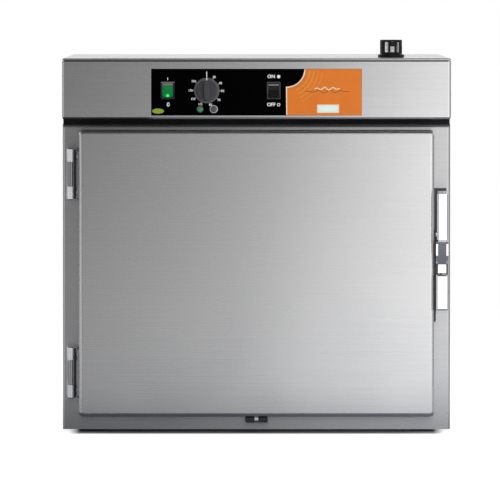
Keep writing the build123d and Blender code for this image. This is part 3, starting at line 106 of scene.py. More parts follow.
# Node helpers


def feed(tree, socket, value):
    """Links a node or socket to an input, or sets the input to a plain value."""
    if isinstance(value, bpy.types.Node):
        value = value.outputs[0]
    if isinstance(value, bpy.types.NodeSocket):
        tree.links.new(value, socket)
    else:
        socket.default_value = value


def add(tree, kind, inputs=None, **settings):
    """A new shader node with its settings made and its inputs fed."""
    made = tree.nodes.new("ShaderNode" + kind)
    for name, value in settings.items():
        setattr(made, name, value)
    for name, value in (inputs or {}).items():
        feed(tree, made.inputs[name], value)
    return made


def begin(name, metal=0.0):
    """A new material, its node tree and its main shader."""
    material = bpy.data.materials.new(name)
    material.use_nodes = True
    tree = material.node_tree
    shader = tree.nodes["Principled BSDF"]
    shader.inputs["Metallic"].default_value = metal
    return material, tree, shader


def shade(tree, shader, inputs):
    """Feeds several inputs of a shader."""
    for name, value in inputs.items():
        feed(tree, shader.inputs[name], value)


def pattern(tree, scale, detail=2.0, shift=0.0):
    """Noise from 0 to 1, with scale features in a metre: one number, or one for each axis."""
    if not isinstance(scale, tuple):
        scale = (scale, scale, scale)
    where = add(tree, "TexCoord").outputs["Object"]
    placed = add(tree, "Mapping", {"Vector": where, "Scale": scale, "Location": (shift, shift, shift)})
    return add(tree, "TexNoise", {"Vector": placed, "Scale": 1.0, "Detail": detail})


def coordinate(tree, letter):
    """The shaded point's place along one axis."""
    where = add(tree, "TexCoord").outputs["Object"]
    return add(tree, "SeparateXYZ", {0: where}).outputs[letter]


def spread(tree, value, low, high, start=0.3, end=0.7):
    """A value moved from start..end to low..high."""
    ends = {"From Min": start, "From Max": end, "To Min": low, "To Max": high}
    return add(tree, "MapRange", {"Value": value, **ends})


def plus(tree, first, second):
    return add(tree, "Math", {0: first, 1: second}, operation="ADD")


def times(tree, first, second):
    return add(tree, "Math", {0: first, 1: second}, operation="MULTIPLY")


def away_from(tree, where, point):
    """How far a place is from a point."""
    return add(tree, "VectorMath", {0: where, 1: point}, operation="DISTANCE").outputs["Value"]


def between(tree, factor, first, second):
    """A number between two, by a factor from 0 to 1."""
    return add(tree, "Mix", {"Factor": factor, "A": first, "B": second})


def mixed(tree, factor, first, second):
    """A colour between two, by a factor from 0 to 1."""
    node = tree.nodes.new("ShaderNodeMix")
    node.data_type = "RGBA"
    for index, value in ((0, factor), (6, first), (7, second)):
        feed(tree, node.inputs[index], value)
    return node.outputs[2]


def swell(tree, value, height, rise, fall):
    """A brightness that rises to a height over one range of a value and dies away over another."""
    return times(tree, spread(tree, value, 0.0, height, *rise), spread(tree, value, 1.0, 0.0, *fall))


def ramp(tree, value, stops):
    """A brightness that follows a value through (value, brightness) stops."""
    low, high = stops[0][0], stops[-1][0]
    node = add(tree, "ValToRGB", {"Fac": spread(tree, value, 0.0, 1.0, low, high)})
    points = node.color_ramp.elements
    while len(points) < len(stops):
        points.new(0.5)
    for point, (place, light) in zip(points, stops):
        share = light / BRIGHTEST
        point.position = (place - low) / (high - low)
        point.color = (share, share, share, 1)
    return times(tree, node.outputs["Color"], BRIGHTEST)


def bump(tree, height, distance, strength=1.0):
    return add(tree, "Bump", {"Height": height, "Distance": distance, "Strength": strength})


def tone(colour, share):
    """A colour made lighter or darker, with its alpha."""
    return (*[min(1.0, part * share) for part in colour], 1.0)


def topped(tree, colour, cap, level):
    """A colour that turns into another above a height, for painted light or painted shade, as where light
    catches an upper edge.
    """
    blur = 0.0004
    above = spread(tree, coordinate(tree, "Z"), 0.0, 1.0, level - blur, level + blur)
    return mixed(tree, above, colour, cap)


# Metals. Brushing has so many features in a metre along its lines and across them.

STEEL = (0.60, 0.60, 0.605)
BRUSH_LINES = (6, 1300)
BRUSH_STREAKS = (1.3, 170)


def by_axis(axis, along, across):
    """A size for each axis: one along the named axis and another across it."""
    return tuple(along if letter == axis else across for letter in "XYZ")


def brushed(name, axis, colour=STEEL, roughness=0.30, stretch=0.75, contrast=1.0, depth_mm=0.006):
    """Steel brushed in lines along one axis, with faint broader streaks and soft smudges."""
    material, tree, shader = begin(name, 1.0)
    lines = pattern(tree, by_axis(axis, *BRUSH_LINES), 3.0)
    streaks = pattern(tree, by_axis(axis, *BRUSH_STREAKS), 3.0, 4.0)
    smudge = pattern(tree, 7, 3.0, 9.0)
    dark, bright = tone(colour, 1 - 0.07 * contrast), tone(colour, 1 + 0.05 * contrast)
    swing = 0.02 + 0.035 * contrast
    rough = plus(tree, spread(tree, lines, roughness - swing, roughness + swing),
                 spread(tree, smudge, -0.02, 0.03))
    shade(tree, shader, {
        "Base Color": mixed(tree, spread(tree, streaks, 0.0, 1.0), dark, bright),
        "Roughness": rough,
        "Anisotropic": stretch,
        "Specular IOR Level": 0.5,
        "Tangent": add(tree, "Tangent", direction_type="RADIAL", axis=axis),
        "Normal": bump(tree, plus(tree, lines, streaks), depth_mm * MM, 0.5),
    })
    return material


def drip_steel():
    """Brushed steel with painted shade: darker left of the control panel, standing in for a reflection of
    floor that lies in shade.
    """
    material = brushed("drip_steel", "X", roughness=0.3, stretch=0.5, contrast=0.3, depth_mm=0.003)
    tree = material.node_tree
    base = tree.nodes["Principled BSDF"].inputs["Base Color"]
    fade = 8 * MM
    lit = spread(tree, coordinate(tree, "X"), 0.0, 1.0, overlay_low.x - fade, overlay_low.x + fade)
    # Painted shade: the base colour turns dark grey left of the control panel's edge.
    feed(tree, base, mixed(tree, lit, (0.13, 0.13, 0.14, 1), base.links[0].from_socket))
    return material


def polished(name, colour, roughness, wear=0.05, metal=1.0, shade_band=None):
    """Bright metal with a cloudy finish and fine scratches, with painted shade that darkens it between two
    given heights.
    """
    material, tree, shader = begin(name, metal)
    cloud = pattern(tree, 60, 4.0)
    scratch = plus(tree, pattern(tree, (25, 25, 1500), 2.0, 3.0), pattern(tree, (1500, 40, 40), 2.0, 6.0))
    rough = plus(tree, spread(tree, cloud, roughness - wear / 2, roughness + wear),
                 spread(tree, scratch, 0.0, wear, 0.9, 1.3))
    base = mixed(tree, cloud, tone(colour, 0.93), tone(colour, 1.03))
    # Painted shade: a darker copy of the colour between the two heights.
    if shade_band:
        low, high = shade_band
        dark = mixed(tree, cloud, tone(colour, 0.30), tone(colour, 0.37))
        base = topped(tree, topped(tree, base, dark, low), base, high)
    shade(tree, shader, {
        "Base Color": base,
        "Roughness": rough,
        "Normal": bump(tree, scratch, 0.000008, 0.4),
    })
    return material


def stained(name, colour, stain, roughness, grain=40):
    """Metal with patches of another tint, as from heat or oxide."""
    material, tree, shader = begin(name, 1.0)
    patches = pattern(tree, grain, 5.0)
    fine = pattern(tree, 900, 2.0, 5.0)
    shade(tree, shader, {
        "Base Color": mixed(tree, spread(tree, patches, 0.0, 1.0, 0.35, 0.65), (*colour, 1), (*stain, 1)),
        "Roughness": spread(tree, patches, roughness - 0.06, roughness + 0.1),
        "Normal": bump(tree, fine, 0.00002, 0.6),
    })
    return material


# Plastics, rubber, inks and wool


def moulded(name, colour, roughness=0.45, grain=0.00002, density=1600, shine=0.5):
    """Moulded plastic: a fine even grain, slight mottling and soft scuffs."""
    material, tree, shader = begin(name)
    fine = pattern(tree, density, 2.0)
    mottle = pattern(tree, 90, 4.0, 2.0)
    shade(tree, shader, {
        "Base Color": mixed(tree, mottle, tone(colour, 0.82), tone(colour, 1.18)),
        "Roughness": spread(tree, mottle, roughness - 0.05, roughness + 0.08),
        "Normal": bump(tree, fine, grain, 0.7),
        "Specular IOR Level": shine,
    })
    return material


def ink(name, colour, roughness=0.38):
    """Screen-printed ink with a fine dot mottling under the film's sheen."""
    material, tree, shader = begin(name)
    dots = pattern(tree, 2600, 1.0)
    wash = pattern(tree, 35, 4.0, 8.0)
    depth_of_tint = plus(tree, spread(tree, dots, 0.0, 0.4), spread(tree, wash, 0.0, 0.6))
    shade(tree, shader, {
        "Base Color": mixed(tree, depth_of_tint, tone(colour, 0.93), tone(colour, 1.05)),
        "Roughness": spread(tree, wash, roughness - 0.04, roughness + 0.06),
        "Normal": bump(tree, dots, 0.000004, 0.5),
        "Specular IOR Level": 0.12,
    })
    return material


def lens(name, colour, glow, strength):
    """A ribbed coloured lens with light behind it."""
    material, tree, shader = begin(name)
    ribs = pattern(tree, 700, 1.0)
    shade(tree, shader, {
        "Base Color": mixed(tree, ribs, tone(colour, 0.8), tone(colour, 1.15)),
        "Roughness": spread(tree, ribs, 0.08, 0.2),
        "Normal": bump(tree, ribs, 0.0001, 0.5),
        "Emission Color": (*glow, 1),
        "Emission Strength": strength,
        "Coat Weight": 0.5,
    })
    return material


def striped(name, colour, stripe, low, high):
    """Moulded plastic with a lighter stripe between two heights: a painted highlight where a ledge catches
    the light.
    """
    material, tree, shader = begin(name)
    mottle = pattern(tree, 200, 3.0)
    plain = mixed(tree, mottle, tone(colour, 0.85), tone(colour, 1.15))
    bright = topped(tree, plain, mixed(tree, mottle, tone(stripe, 0.85), tone(stripe, 1.1)), low)
    shade(tree, shader, {
        "Base Color": topped(tree, bright, plain, high),
        "Roughness": spread(tree, mottle, 0.3, 0.4),
        "Specular IOR Level": 0.25,
    })
    return material


def knob_plastic():
    """Dark moulded plastic, greyer on the knob's skirt than on its body."""
    material, tree, shader = begin("knob_plastic")
    where = add(tree, "TexCoord").outputs["Object"]
    flat = add(tree, "VectorMath", {0: where, 1: (1, 0, 1)}, operation="MULTIPLY")
    outer = spread(tree, away_from(tree, flat, (KNOB_X, 0, KNOB_Z)), 0.0, 1.0, 18.1 * MM, 18.9 * MM)
    mottle = pattern(tree, 260, 4.0)
    fine = pattern(tree, 1500, 2.0, 3.0)
    body = mixed(tree, mottle, (0.028, 0.027, 0.032, 1), (0.062, 0.06, 0.07, 1))
    skirt = mixed(tree, mottle, (0.075, 0.075, 0.085, 1), (0.12, 0.12, 0.13, 1))
    shade(tree, shader, {
        "Base Color": mixed(tree, outer, body, skirt),
        "Roughness": spread(tree, mottle, 0.3, 0.46),
        "Normal": bump(tree, fine, 0.00002, 0.7),
    })
    return material


def lit_plastic(name, colour, glow, lamps, cap, level):
    """Tinted plastic with lamps, (place, reach, strength), behind it: a lit switch's glow, set where
    highlights fall, so partly painted highlight. Above a level it takes a cap colour, a painted highlight.
    """
    material, tree, shader = begin(name)
    where = add(tree, "TexCoord").outputs["Object"]
    light = 0.0
    for place, reach, strength in lamps:
        near = spread(tree, away_from(tree, where, place), strength, 0.0, 0.0, reach)
        near.interpolation_type = "SMOOTHSTEP"
        light = plus(tree, light, near)
    mottle = pattern(tree, 300, 3.0)
    tint = mixed(tree, mottle, tone(colour, 0.88), tone(colour, 1.12))
    shade(tree, shader, {
        "Base Color": topped(tree, tint, (*cap, 1), level),
        "Roughness": spread(tree, mottle, 0.2, 0.34),
        "Emission Color": (*glow, 1),
        "Emission Strength": light,
        "Specular IOR Level": 0.3,
    })
    return material


def fibrous(name, light, dark):
    """Mineral wool: tangled strands in two tints."""
    material, tree, shader = begin(name)
    strands = pattern(tree, (80, 900, 260), 5.0)
    clumps = pattern(tree, 45, 4.0, 3.0)
    lightness = plus(tree, spread(tree, strands, 0.0, 0.55), spread(tree, clumps, 0.0, 0.45))
    shade(tree, shader, {
        "Base Color": mixed(tree, lightness, (*dark, 1), (*light, 1)),
        "Roughness": spread(tree, strands, 0.85, 1.0),
        "Normal": bump(tree, strands, 0.0012, 0.9),
        "Sheen Weight": 0.3,
    })
    return material


# Outlines. Those said to be in millimetres have x from the middle and z from the floor.


def circle(x, z, radius, steps=48, start=0.0, turn=2 * math.pi):
    """Points of a circle or an arc as (x, z), with angles from +X towards +Z."""
    last = steps if abs(turn) > 2 * math.pi - 1e-6 else steps - 1
    angles = [start + turn * n / last for n in range(steps)]
    return [(x + radius * math.cos(a), z + radius * math.sin(a)) for a in angles]


def ellipse(x, z, wide, tall, steps=48):
    """An oval in millimetres, from its middle and half sizes."""
    angles = [2 * math.pi * n / steps for n in range(steps)]
    return [(x + wide * math.cos(a), z + tall * math.sin(a)) for a in angles]


def rectangle(x0, x1, z0, z1, corner=0.0):
    """A rectangle in millimetres, with rounded corners if asked."""
    if not corner:
        return [(x0, z0), (x1, z0), (x1, z1), (x0, z1)]
    outline = []
    turns = ((x1 - corner, z0 + corner, -90), (x1 - corner, z1 - corner, 0),
             (x0 + corner, z1 - corner, 90), (x0 + corner, z0 + corner, 180))
    for x, z, angle in turns:
        outline += circle(x, z, corner, 7, math.radians(angle), math.pi / 2)
    return outline


def mm(points):
    """Points in metres from points in millimetres."""
    return [(x * MM, z * MM) for x, z in points]


def rounded_path(low_a, high_a, low_b, high_b, radius, steps=8):
    """A closed rounded rectangle as (a, b, outward a, outward b)."""
    path = []
    corners = ((high_a - radius, low_b + radius, -90), (high_a - radius, high_b - radius, 0),
               (low_a + radius, high_b - radius, 90), (low_a + radius, low_b + radius, 180))
    for a, b, start in corners:
        for n in range(steps + 1):
            angle = math.radians(start + 90 * n / steps)
            out_a, out_b = math.cos(angle), math.sin(angle)
            path.append((a + radius * out_a, b + radius * out_b, out_a, out_b))
    return path


def soft_outline(points, steps=4):
    """A closed smooth curve through points given in millimetres, as metres."""
    count, out = len(points), []
    for n in range(count):
        ends = zip(*(points[(n + k - 1) % count] for k in range(4)))
        cubics = [(2 * b, c - a, 2 * a - 5 * b + 4 * c - d, 3 * b - a - 3 * c + d) for a, b, c, d in ends]
        for t in (step / steps for step in range(steps)):
            out.append(tuple(0.5 * MM * (p + q * t + r * t * t + s * t ** 3) for p, q, r, s in cubics))
    return out


# Building helpers


def slab(mesh, outline, back, front):
    """Adds a closed flat slab whose (x, z) outline runs between two depths."""
    near = [mesh.verts.new((x, front, z)) for x, z in outline]
    far = [mesh.verts.new((x, back, z)) for x, z in outline]
    mesh.faces.new(near)
    mesh.faces.new(far[::-1])
    count = len(outline)
    for n in range(count):
        m = (n + 1) % count
        mesh.faces.new((near[m], near[n], far[n], far[m]))


def loops(mesh, rows, closed=True):
    """Joins rows of points, each a closed loop, into a skin. If closed, the last joins the first too."""
    made = [[mesh.verts.new(point) for point in row] for row in rows]
    count = len(rows[0])
    pairs = zip(made, made[1:] + made[:1]) if closed else zip(made, made[1:])
    for first, second in pairs:
        for n in range(count):
            m = (n + 1) % count
            mesh.faces.new((first[n], first[m], second[m], second[n]))
    return made


def bar(mesh, rows):
    """Joins rows of points into a skin and closes both of its ends."""
    made = loops(mesh, rows, closed=False)
    mesh.faces.new(made[0])
    mesh.faces.new(made[-1][::-1])


def ribbon(mesh, points, width, back, front):
    """Adds a flat line of one width along (x, z) points, with mitred corners."""
    normals = []
    for (ax, az), (bx, bz) in zip(points, points[1:]):
        size = math.hypot(bx - ax, bz - az)
        normals.append(((az - bz) / size, (bx - ax) / size))
    left, right = [], []
    for (x, z), (ax, az), (bx, bz) in zip(points, normals[:1] + normals, normals + normals[-1:]):
        share = width / ((ax + bx) ** 2 + (az + bz) ** 2)
        left.append((x + (ax + bx) * share, z + (az + bz) * share))
        right.append((x - (ax + bx) * share, z - (az + bz) * share))
    slab(mesh, left + right[::-1], back, front)


def lettering(mesh, words, x, z, height, back, front):
    """Adds plain upright letters or numbers centred on (x, z)."""
    curve = bpy.data.curves.new("lettering", "FONT")
    curve.body = words
    curve.size = height / 0.7
    curve.extrude = abs(front - back) / 2
    curve.offset = height * 0.035
    curve.align_x, curve.align_y = "CENTER", "CENTER"
    carrier = bpy.data.objects.new("lettering", curve)
    solid = bpy.data.meshes.new_from_object(carrier)
    for vertex in solid.vertices:
        u, v, w = vertex.co
        vertex.co = (x + u, (back + front) / 2 - w, z + v)
    mesh.from_mesh(solid)
    bpy.data.meshes.remove(solid)
    bpy.data.objects.remove(carrier)
    bpy.data.curves.remove(curve)


def trim(mesh, outline, back, front, corner=0.5):
    """Adds a flat strip with a chamfered front edge. The outline is in millimetres, anticlockwise."""
    count, inner = len(outline), []
    for n in range(count):
        (ax, az), (bx, bz), (cx, cz) = outline[n - 1], outline[n], outline[(n + 1) % count]
        first, second = math.hypot(bx - ax, bz - az), math.hypot(cx - bx, cz - bz)
        inner.append((bx - corner * ((bz - az) / first + (cz - bz) / second),
                      bz + corner * ((bx - ax) / first + (cx - bx) / second)))
    levels = ((outline, back), (outline, front + corner * MM), (inner, front))
    bar(mesh, [[(x * MM, y, z * MM) for x, z in line] for line, y in levels])


def piece(name, mesh, material, body="cabinet", smooth=None, replaces=()):
    """Turns a bmesh into a piece of the oven that rides on a body. smooth is an angle in degrees."""
    bmesh.ops.recalc_face_normals(mesh, faces=mesh.faces[:])
    data = bpy.data.meshes.new(name)
    mesh.to_mesh(data)
    mesh.free()
    data.materials.append(material)
    if smooth is not None:
        data.shade_smooth()
        data.set_sharp_from_angle(angle=math.radians(smooth))
    made = bpy.data.objects.new(name, data)
    bpy.context.scene.collection.objects.link(made)
    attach(made, body)
    if replaces:
        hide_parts(*replaces)


def flat_piece(name, outline, layer, material):
    """One flat print on the control panel, from its outline in millimetres."""
    mesh = bmesh.new()
    slab(mesh, mm(outline), *depth(layer))
    piece(name, mesh, material)


def dark_strips(name, outlines, back, front, material, body="cabinet", corner=0.5):
    """A piece of one or more dark strips, from their outlines in millimetres. Most such strips are painted
    shade.
    """
    mesh = bmesh.new()
    for outline in outlines:
        trim(mesh, outline, back, front, corner)
    piece(name, mesh, material, body=body)


def islands(node):
    """The lowest and highest corner of each separate solid in a CAD node."""
    mesh = bmesh.new()
    mesh.from_mesh(NODES[node].data)
    bmesh.ops.remove_doubles(mesh, verts=mesh.verts[:], dist=1e-6)
    left, found = set(mesh.verts), []
    while left:
        todo, group = [left.pop()], []
        while todo:
            vertex = todo.pop()
            group.append(vertex.co.copy())
            for edge in vertex.link_edges:
                other = edge.other_vert(vertex)
                if other in left:
                    left.remove(other)
                    todo.append(other)
        low = Vector([min(co[n] for co in group) for n in range(3)])
        high = Vector([max(co[n] for co in group) for n in range(3)])
        found.append((low, high))
    mesh.free()
    return sorted(found, key=lambda pair: tuple(round(part, 5) for part in pair[0]))


def centre_x(node):
    low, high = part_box(node)
    return (low.x + high.x) / 2


# Control panel prints, in layers with a film of glue under each. Their places are in millimetres, and
# the dial's angles are degrees clockwise from the top.

LAYER = 0.03 * MM
GLUE = 0.00001
OVAL = (-177, 580, 10.6, 4.6)

# Dial: each tick, the longer line at the top, and a number's reach, which grows with its width

NUMBERS = {29: "30", 62: "45", 91.5: "60", 128: "75", 166: "90",
           205: "105", 238: "120", 270: "135", 305: "150"}
PINK_NUMBER = "105"
NUMBER_HEIGHT, NUMBER_REACH, LETTER_REACH = 3.9, 26.4, 0.95
TICK_ENDS, TICK_WIDTH = (23.3, 24.3), 1.1
START_ENDS, START_WIDTH = (23.6, 33.8), 1.5

# Marks at the switches: words, x from the switch's middle, z and height, and the dot and the ring

ON_Z, OFF_Z = 642, 591.5
SWITCH_MARKS = {
    "power_switch_housing": (("I", 0, 637.6, 5.0), ("0", 1, OFF_Z, 7.2)),
    "humidity_switch_housing": (("ON", -4.5, ON_Z, 6.0), ("OFF", -4.5, OFF_Z, 6.0)),
}
DOT_X, DOT_RADIUS, RING_RADIUS, RING_WIDTH = 8.8, 3.0, 2.4, 1.1

# Orange field: its edges, its round corner, and rectangles as left, right, low and high. A wave is its
# left end, middle height, swing, pace, start and length.

FIELD_LEFT, FIELD_RIGHT = 54.0, overlay_high.x / MM
FIELD_LOW, FIELD_TOP = overlay_low.z / MM, overlay_high.z / MM
FIELD_CORNER, FIELD_MARGIN = 33.0, 0.3
EDGING_MARGIN, EDGING_WIDTH = 1, 2.0
LABEL, LABEL_CORNER = (111.6, 145.8, 579.2, 589.2), 0.6
LABEL_FRAME, FRAME_CORNER = (108.9, 148.5, 576.7, 591.7), 1.2
CREAM_WAVE, CREAM_WIDTH = (104, 620.5, 2.6, 0.42, 0, 46), 1.6
UMBER_WAVE, UMBER_WIDTH = (88, 615.2, 2.4, 0.3, 1, 78), 1.3
ARC_COUNT, ARC_REACH, ARC_STEP, ARC_WIDTH, ARC_THINNING = 4, 9, 7.5, 2.4, 0.45


def depth(layer):
    """The back and front of a printed layer on the panel."""
    return PANEL_Y - layer * LAYER - GLUE, PANEL_Y - (layer + 1) * LAYER


def round_knob(angle, radius):
    """A place on the panel at an angle and a radius round the knob, in metres."""
    turn = math.radians(angle)
    return KNOB_X + math.sin(turn) * radius * MM, KNOB_Z + math.cos(turn) * radius * MM


def make_marks():
    """White marks and numbers round the dial, one number in pink, and white marks at the switches."""
    back, front = depth(0)
    marks, pink_marks = bmesh.new(), bmesh.new()
    for angle, number in NUMBERS.items():
        ribbon(marks, [round_knob(angle, r) for r in TICK_ENDS], TICK_WIDTH * MM, back, front)
        reach = NUMBER_REACH + LETTER_REACH * len(number) * abs(math.sin(math.radians(angle)))
        mesh = pink_marks if number == PINK_NUMBER else marks
        lettering(mesh, number, *round_knob(angle, reach), NUMBER_HEIGHT * MM, back, front)
    ribbon(marks, [round_knob(0, r) for r in START_ENDS], START_WIDTH * MM, back, front)
    for node, marks_there in SWITCH_MARKS.items():
        for words, x, z, height in marks_there:
            lettering(marks, words, centre_x(node) + x * MM, z * MM, height * MM, back, front)
    dot_x = centre_x("humidity_switch_housing") + DOT_X * MM
    slab(marks, circle(dot_x, ON_Z * MM, DOT_RADIUS * MM, 28), back, front)
    ring = circle(dot_x, OFF_Z * MM, RING_RADIUS * MM, 28)
    ribbon(marks, [*ring, ring[0]], RING_WIDTH * MM, back, front)
    piece("panel_marks", marks, ink("white_ink", (0.93, 0.93, 0.91)))
    piece("pink_number", pink_marks, ink("pink_ink", (0.95, 0.66, 0.65)))


def field_arc(radius, first, last, steps, top):
    """An arc round the field's upper left corner, by angles from straight down, kept below a top."""
    angles = [math.radians(first + (last - first) * n / steps) for n in range(steps + 1)]
    places = [(FIELD_LEFT + radius * math.sin(a), FIELD_TOP - radius * math.cos(a)) for a in angles]
    return [(x, min(z, top)) for x, z in places]


def wave(left, middle, height, pace, start, length):
    """A wavy line with a point in each millimetre, which starts and ends flat."""
    return [(left + n, middle + height * math.sin(n * pace + start) * math.sin(math.pi * n / length))
            for n in range(length + 1)]


def make_orange_field():
    """The orange field, its cream edge and label frame, two waves, plain arcs and the blank label."""
    top = FIELD_TOP - FIELD_MARGIN
    right, low = FIELD_RIGHT - FIELD_MARGIN, FIELD_LOW + FIELD_MARGIN
    bend = field_arc(FIELD_CORNER, 0, 90, 24, top)
    outline = [(right, low), (right, top), *bend[::-1], (FIELD_LEFT, low)]
    flat_piece("orange_field", outline, 0, ink("orange_ink", (0.77, 0.206, 0.030)))

    top = FIELD_TOP - EDGING_MARGIN
    edging = bmesh.new()
    line = [(FIELD_LEFT + 0.5, FIELD_LOW + EDGING_MARGIN), *field_arc(FIELD_CORNER, 0, 90, 24, top)]
    ribbon(edging, mm(line), EDGING_WIDTH * MM, *depth(1))
    slab(edging, mm(rectangle(*LABEL_FRAME, FRAME_CORNER)), *depth(1))
    ribbon(edging, mm(wave(*CREAM_WAVE)), CREAM_WIDTH * MM, *depth(3))
    piece("cream_edging", edging, ink("cream_ink", (0.85, 0.78, 0.62)))

    umber = bmesh.new()
    ribbon(umber, mm(wave(*UMBER_WAVE)), UMBER_WIDTH * MM, *depth(2))
    piece("umber_wave", umber, ink("umber_ink", (0.30, 0.10, 0.02)))

    arcs = bmesh.new()
    for n in range(ARC_COUNT):
        arc = field_arc(FIELD_CORNER + ARC_REACH + ARC_STEP * n, 24, 86, 30, top)
        ribbon(arcs, mm(arc), (ARC_WIDTH - ARC_THINNING * n) * MM, *depth(1))
    piece("orange_arcs", arcs, ink("amber_ink", (0.78, 0.30, 0.05)))

    flat_piece("blank_label", rectangle(*LABEL, LABEL_CORNER), 2, ink("pale_label", (0.77, 0.94, 0.93)))


# Knob, pilot lamps, switches and vent


def make_knob_line():
    """The white line across the knob's skirt."""
    mesh = bmesh.new()
    skirt = PANEL_Y - 3.4 * MM
    ribbon(mesh, [round_knob(0, r) for r in (18.4, 22.6)], 2.0 * MM, skirt, skirt - 0.05 * MM)
    white = ink("pointer_ink", (0.95, 0.95, 0.95))
    piece("knob_line", mesh, white, body="thermostat_knob")


def make_lamp_rings():
    """A flat collar with a raised inner rim round each pilot lamp."""
    for name, reach, material in (
        ("pilot_lamp_green", 6.6 * MM, moulded("lamp_collar_dark", (0.03, 0.03, 0.032), 0.3)),
        ("pilot_lamp_clear", 7.3 * MM, moulded("lamp_collar_white", (0.42, 0.40, 0.42), 0.3)),
    ):
        low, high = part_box(name)
        x, z = (low.x + high.x) / 2, (low.z + high.z) / 2
        inner = (high.x - low.x) / 2 + 0.05 * MM
        profile = ((inner, 0.0), (inner, 1.5 * MM), (inner + 0.5 * MM, 1.5 * MM),
                   (reach - 0.4 * MM, 0.9 * MM), (reach, 0.5 * MM), (reach, 0.0))
        foot = PANEL_Y - 2 * GLUE
        mesh = bmesh.new()
        loops(mesh, [[(a, foot - up, b) for a, b in circle(x, z, radius)] for radius, up in profile])
        piece(name + "_collar", mesh, material, smooth=40)


def make_bezels():
    """A raised rounded rim on each switch's bezel. Its profile is (share of width, millimetres up)."""
    wide, tall, face, stripe = 2.9 * MM, 2.0 * MM, PANEL_Y - 2 * MM, 2.2 * MM
    profile = ((0.02, -0.3), (0.02, 0.25), (0.12, 0.6), (0.72, 0.6), (0.98, 0.15), (0.98, -0.3))
    # The second colour of each rim is a lighter stripe along its top: a painted highlight.
    for name, colour, top in (("power_switch", (0.02, 0.022, 0.022), (0.2, 0.18, 0.18)),
                              ("humidity_switch", (0.045, 0.045, 0.05), (0.05, 0.05, 0.055))):
        low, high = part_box(name + "_housing")
        rows = []
        for share, up in profile:
            path = rounded_path(low.x + share * wide, high.x - share * wide, low.z + share * tall,
                                high.z - share * tall, (2 - 1.4 * share) * MM, 5)
            rows.append([(a, face - up * MM, b) for a, b, _, _ in path])
        mesh = bmesh.new()
        loops(mesh, rows)
        rim = striped(name + "_rim", colour, top, high.z - stripe, high.z + 1 * MM)
        piece(name + "_rim", mesh, rim, smooth=40)


GAUZE_WIRES, GAUZE_HOOPS = 42, 9


def make_vent_gauze():
    """A sleeve of wire gauze inside the vent's cap: upright wires, and hoops inside them."""
    low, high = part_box("vent_cap")
    x, y = (low.x + high.x) / 2, (low.y + high.y) / 2
    reach, wire, bottom, top = 16.4 * MM, 0.32 * MM, low.z + 2.9 * MM, high.z - 3.3 * MM
    quarters = [math.pi * n / 2 for n in range(4)]
    mesh = bmesh.new()
    for angle in (2 * math.pi * n / GAUZE_WIRES for n in range(GAUZE_WIRES)):
        across, along = math.cos(angle), math.sin(angle)
        bar(mesh, [[(x + across * (reach + wire * math.cos(a)) - along * wire * math.sin(a),
                     y + along * (reach + wire * math.cos(a)) + across * wire * math.sin(a), level)
                    for a in quarters] for level in (bottom, top)])
    inner = reach - 0.4 * MM
    for n in range(GAUZE_HOOPS):
        level = bottom + wire + (top - bottom - 2 * wire) * n / (GAUZE_HOOPS - 1)
        rings = ((inner + wire * math.cos(a), level + wire * math.sin(a)) for a in quarters)
        loops(mesh, [[(a, b, height) for a, b in circle(x, y, radius)] for radius, height in rings])
    piece("vent_gauze", mesh, RACK_STEEL, body="vent_cap")


# Dark strips, most of them painted shade, and the drip edge, with painted shade at its left. Their
# outlines are in millimetres, and a strip's back lies a hair in front of what it is on.

HAIR = 0.05 * MM


def make_latch_shade_strips():
    """A black strip along the door's half of the latch, and a stepped dark one on the frame behind the
    lever: both painted shade, standing in for the shadow round the latch.
    """
    plate, edge = door_low.y + 8 * MM, door_high.x / MM
    foot, top = 202, 366
    dark_strips("latch_plate_shade_strip", [rectangle(edge + 0.1, edge + 3, foot, top)],
            plate - HAIR, plate - 1.6 * MM, BLACK, body="door")

    left, slot, lip, right = 320.7, 324.4, 327.6, 343
    foot, step, shelf, top = 216, 332, 435, 440
    outline = [(left, foot), (slot, foot), (slot, step), (lip, step), (lip, shelf), (right, shelf),
               (right, top), (left, top)]
    dark_strips("latch_frame_shade_strip", [outline], BODY_FRONT - HAIR, BODY_FRONT - 1.5 * MM, SHADE_GREY)


def make_head_shade_strip():
    """A dark strip on the frame under the head, standing in for the head's shadow there (painted shade),
    with a lighter lower half, a painted highlight.
    """
    half, top = frame_high.x / MM - 1, frame_high.z / MM
    material = striped("head_shade_strip", (0.008, 0.008, 0.009), (0.16, 0.16, 0.165),
                       (top - 7) * MM, (top - 2.5) * MM)
    dark_strips("head_shade_strip", [rectangle(-half, half, top - 5.6, top - 0.1)],
            BODY_FRONT - HAIR, BODY_FRONT - 1.2 * MM, material)


def make_roof_seal_lip():
    """The lip of the roof's seal, between the roof's rim and the head's face."""
    low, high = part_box("cover_seal")
    half, face = high.x / MM - 3, fascia_low.y
    dark_strips("roof_seal_lip", [rectangle(-half, half, low.z / MM - 0.7, high.z / MM + 0.5)],
            face - HAIR, face - 0.45 * MM, BLACK, corner=0.3)


def make_drip_edge():
    """A thin steel edge under the head's face, which leans back to a rounded foot."""
    profile = ((0.4, 0.05), (1.4, 1.3), (2.8, 3.2), (3.3, 3.4), (3.8, 3.2), (5.4, 1.2), (6.0, 0.05))
    mesh = bmesh.new()
    bar(mesh, [[(x, fascia_low.y + back * MM, fascia_low.z - down * MM) for back, down in profile]
               for x in (fascia_low.x + 1 * MM, fascia_high.x - 1 * MM)])
    piece("fascia_drip_edge", mesh, drip_steel(), smooth=60)


def make_hinge_shade_strip():
    """A black strip beside the knuckles of each door leaf, standing in for the shadow in the gap there:
    painted shade.
    """
    pin_low, pin_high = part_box("hinge_pins")
    web = (pin_low.y + pin_high.y) / 2 - 3 * MM
    left, right, gap = -329.1, -325.2, 0.2
    outlines = [rectangle(left, right, low.z / MM + gap, high.z / MM - gap)
                for low, high in islands("hinge_door_leaves")]
    dark_strips("hinge_shade_strip", outlines, web - HAIR, web - 2.2 * MM, BLACK, body="door")


# Door gasket and cover seal


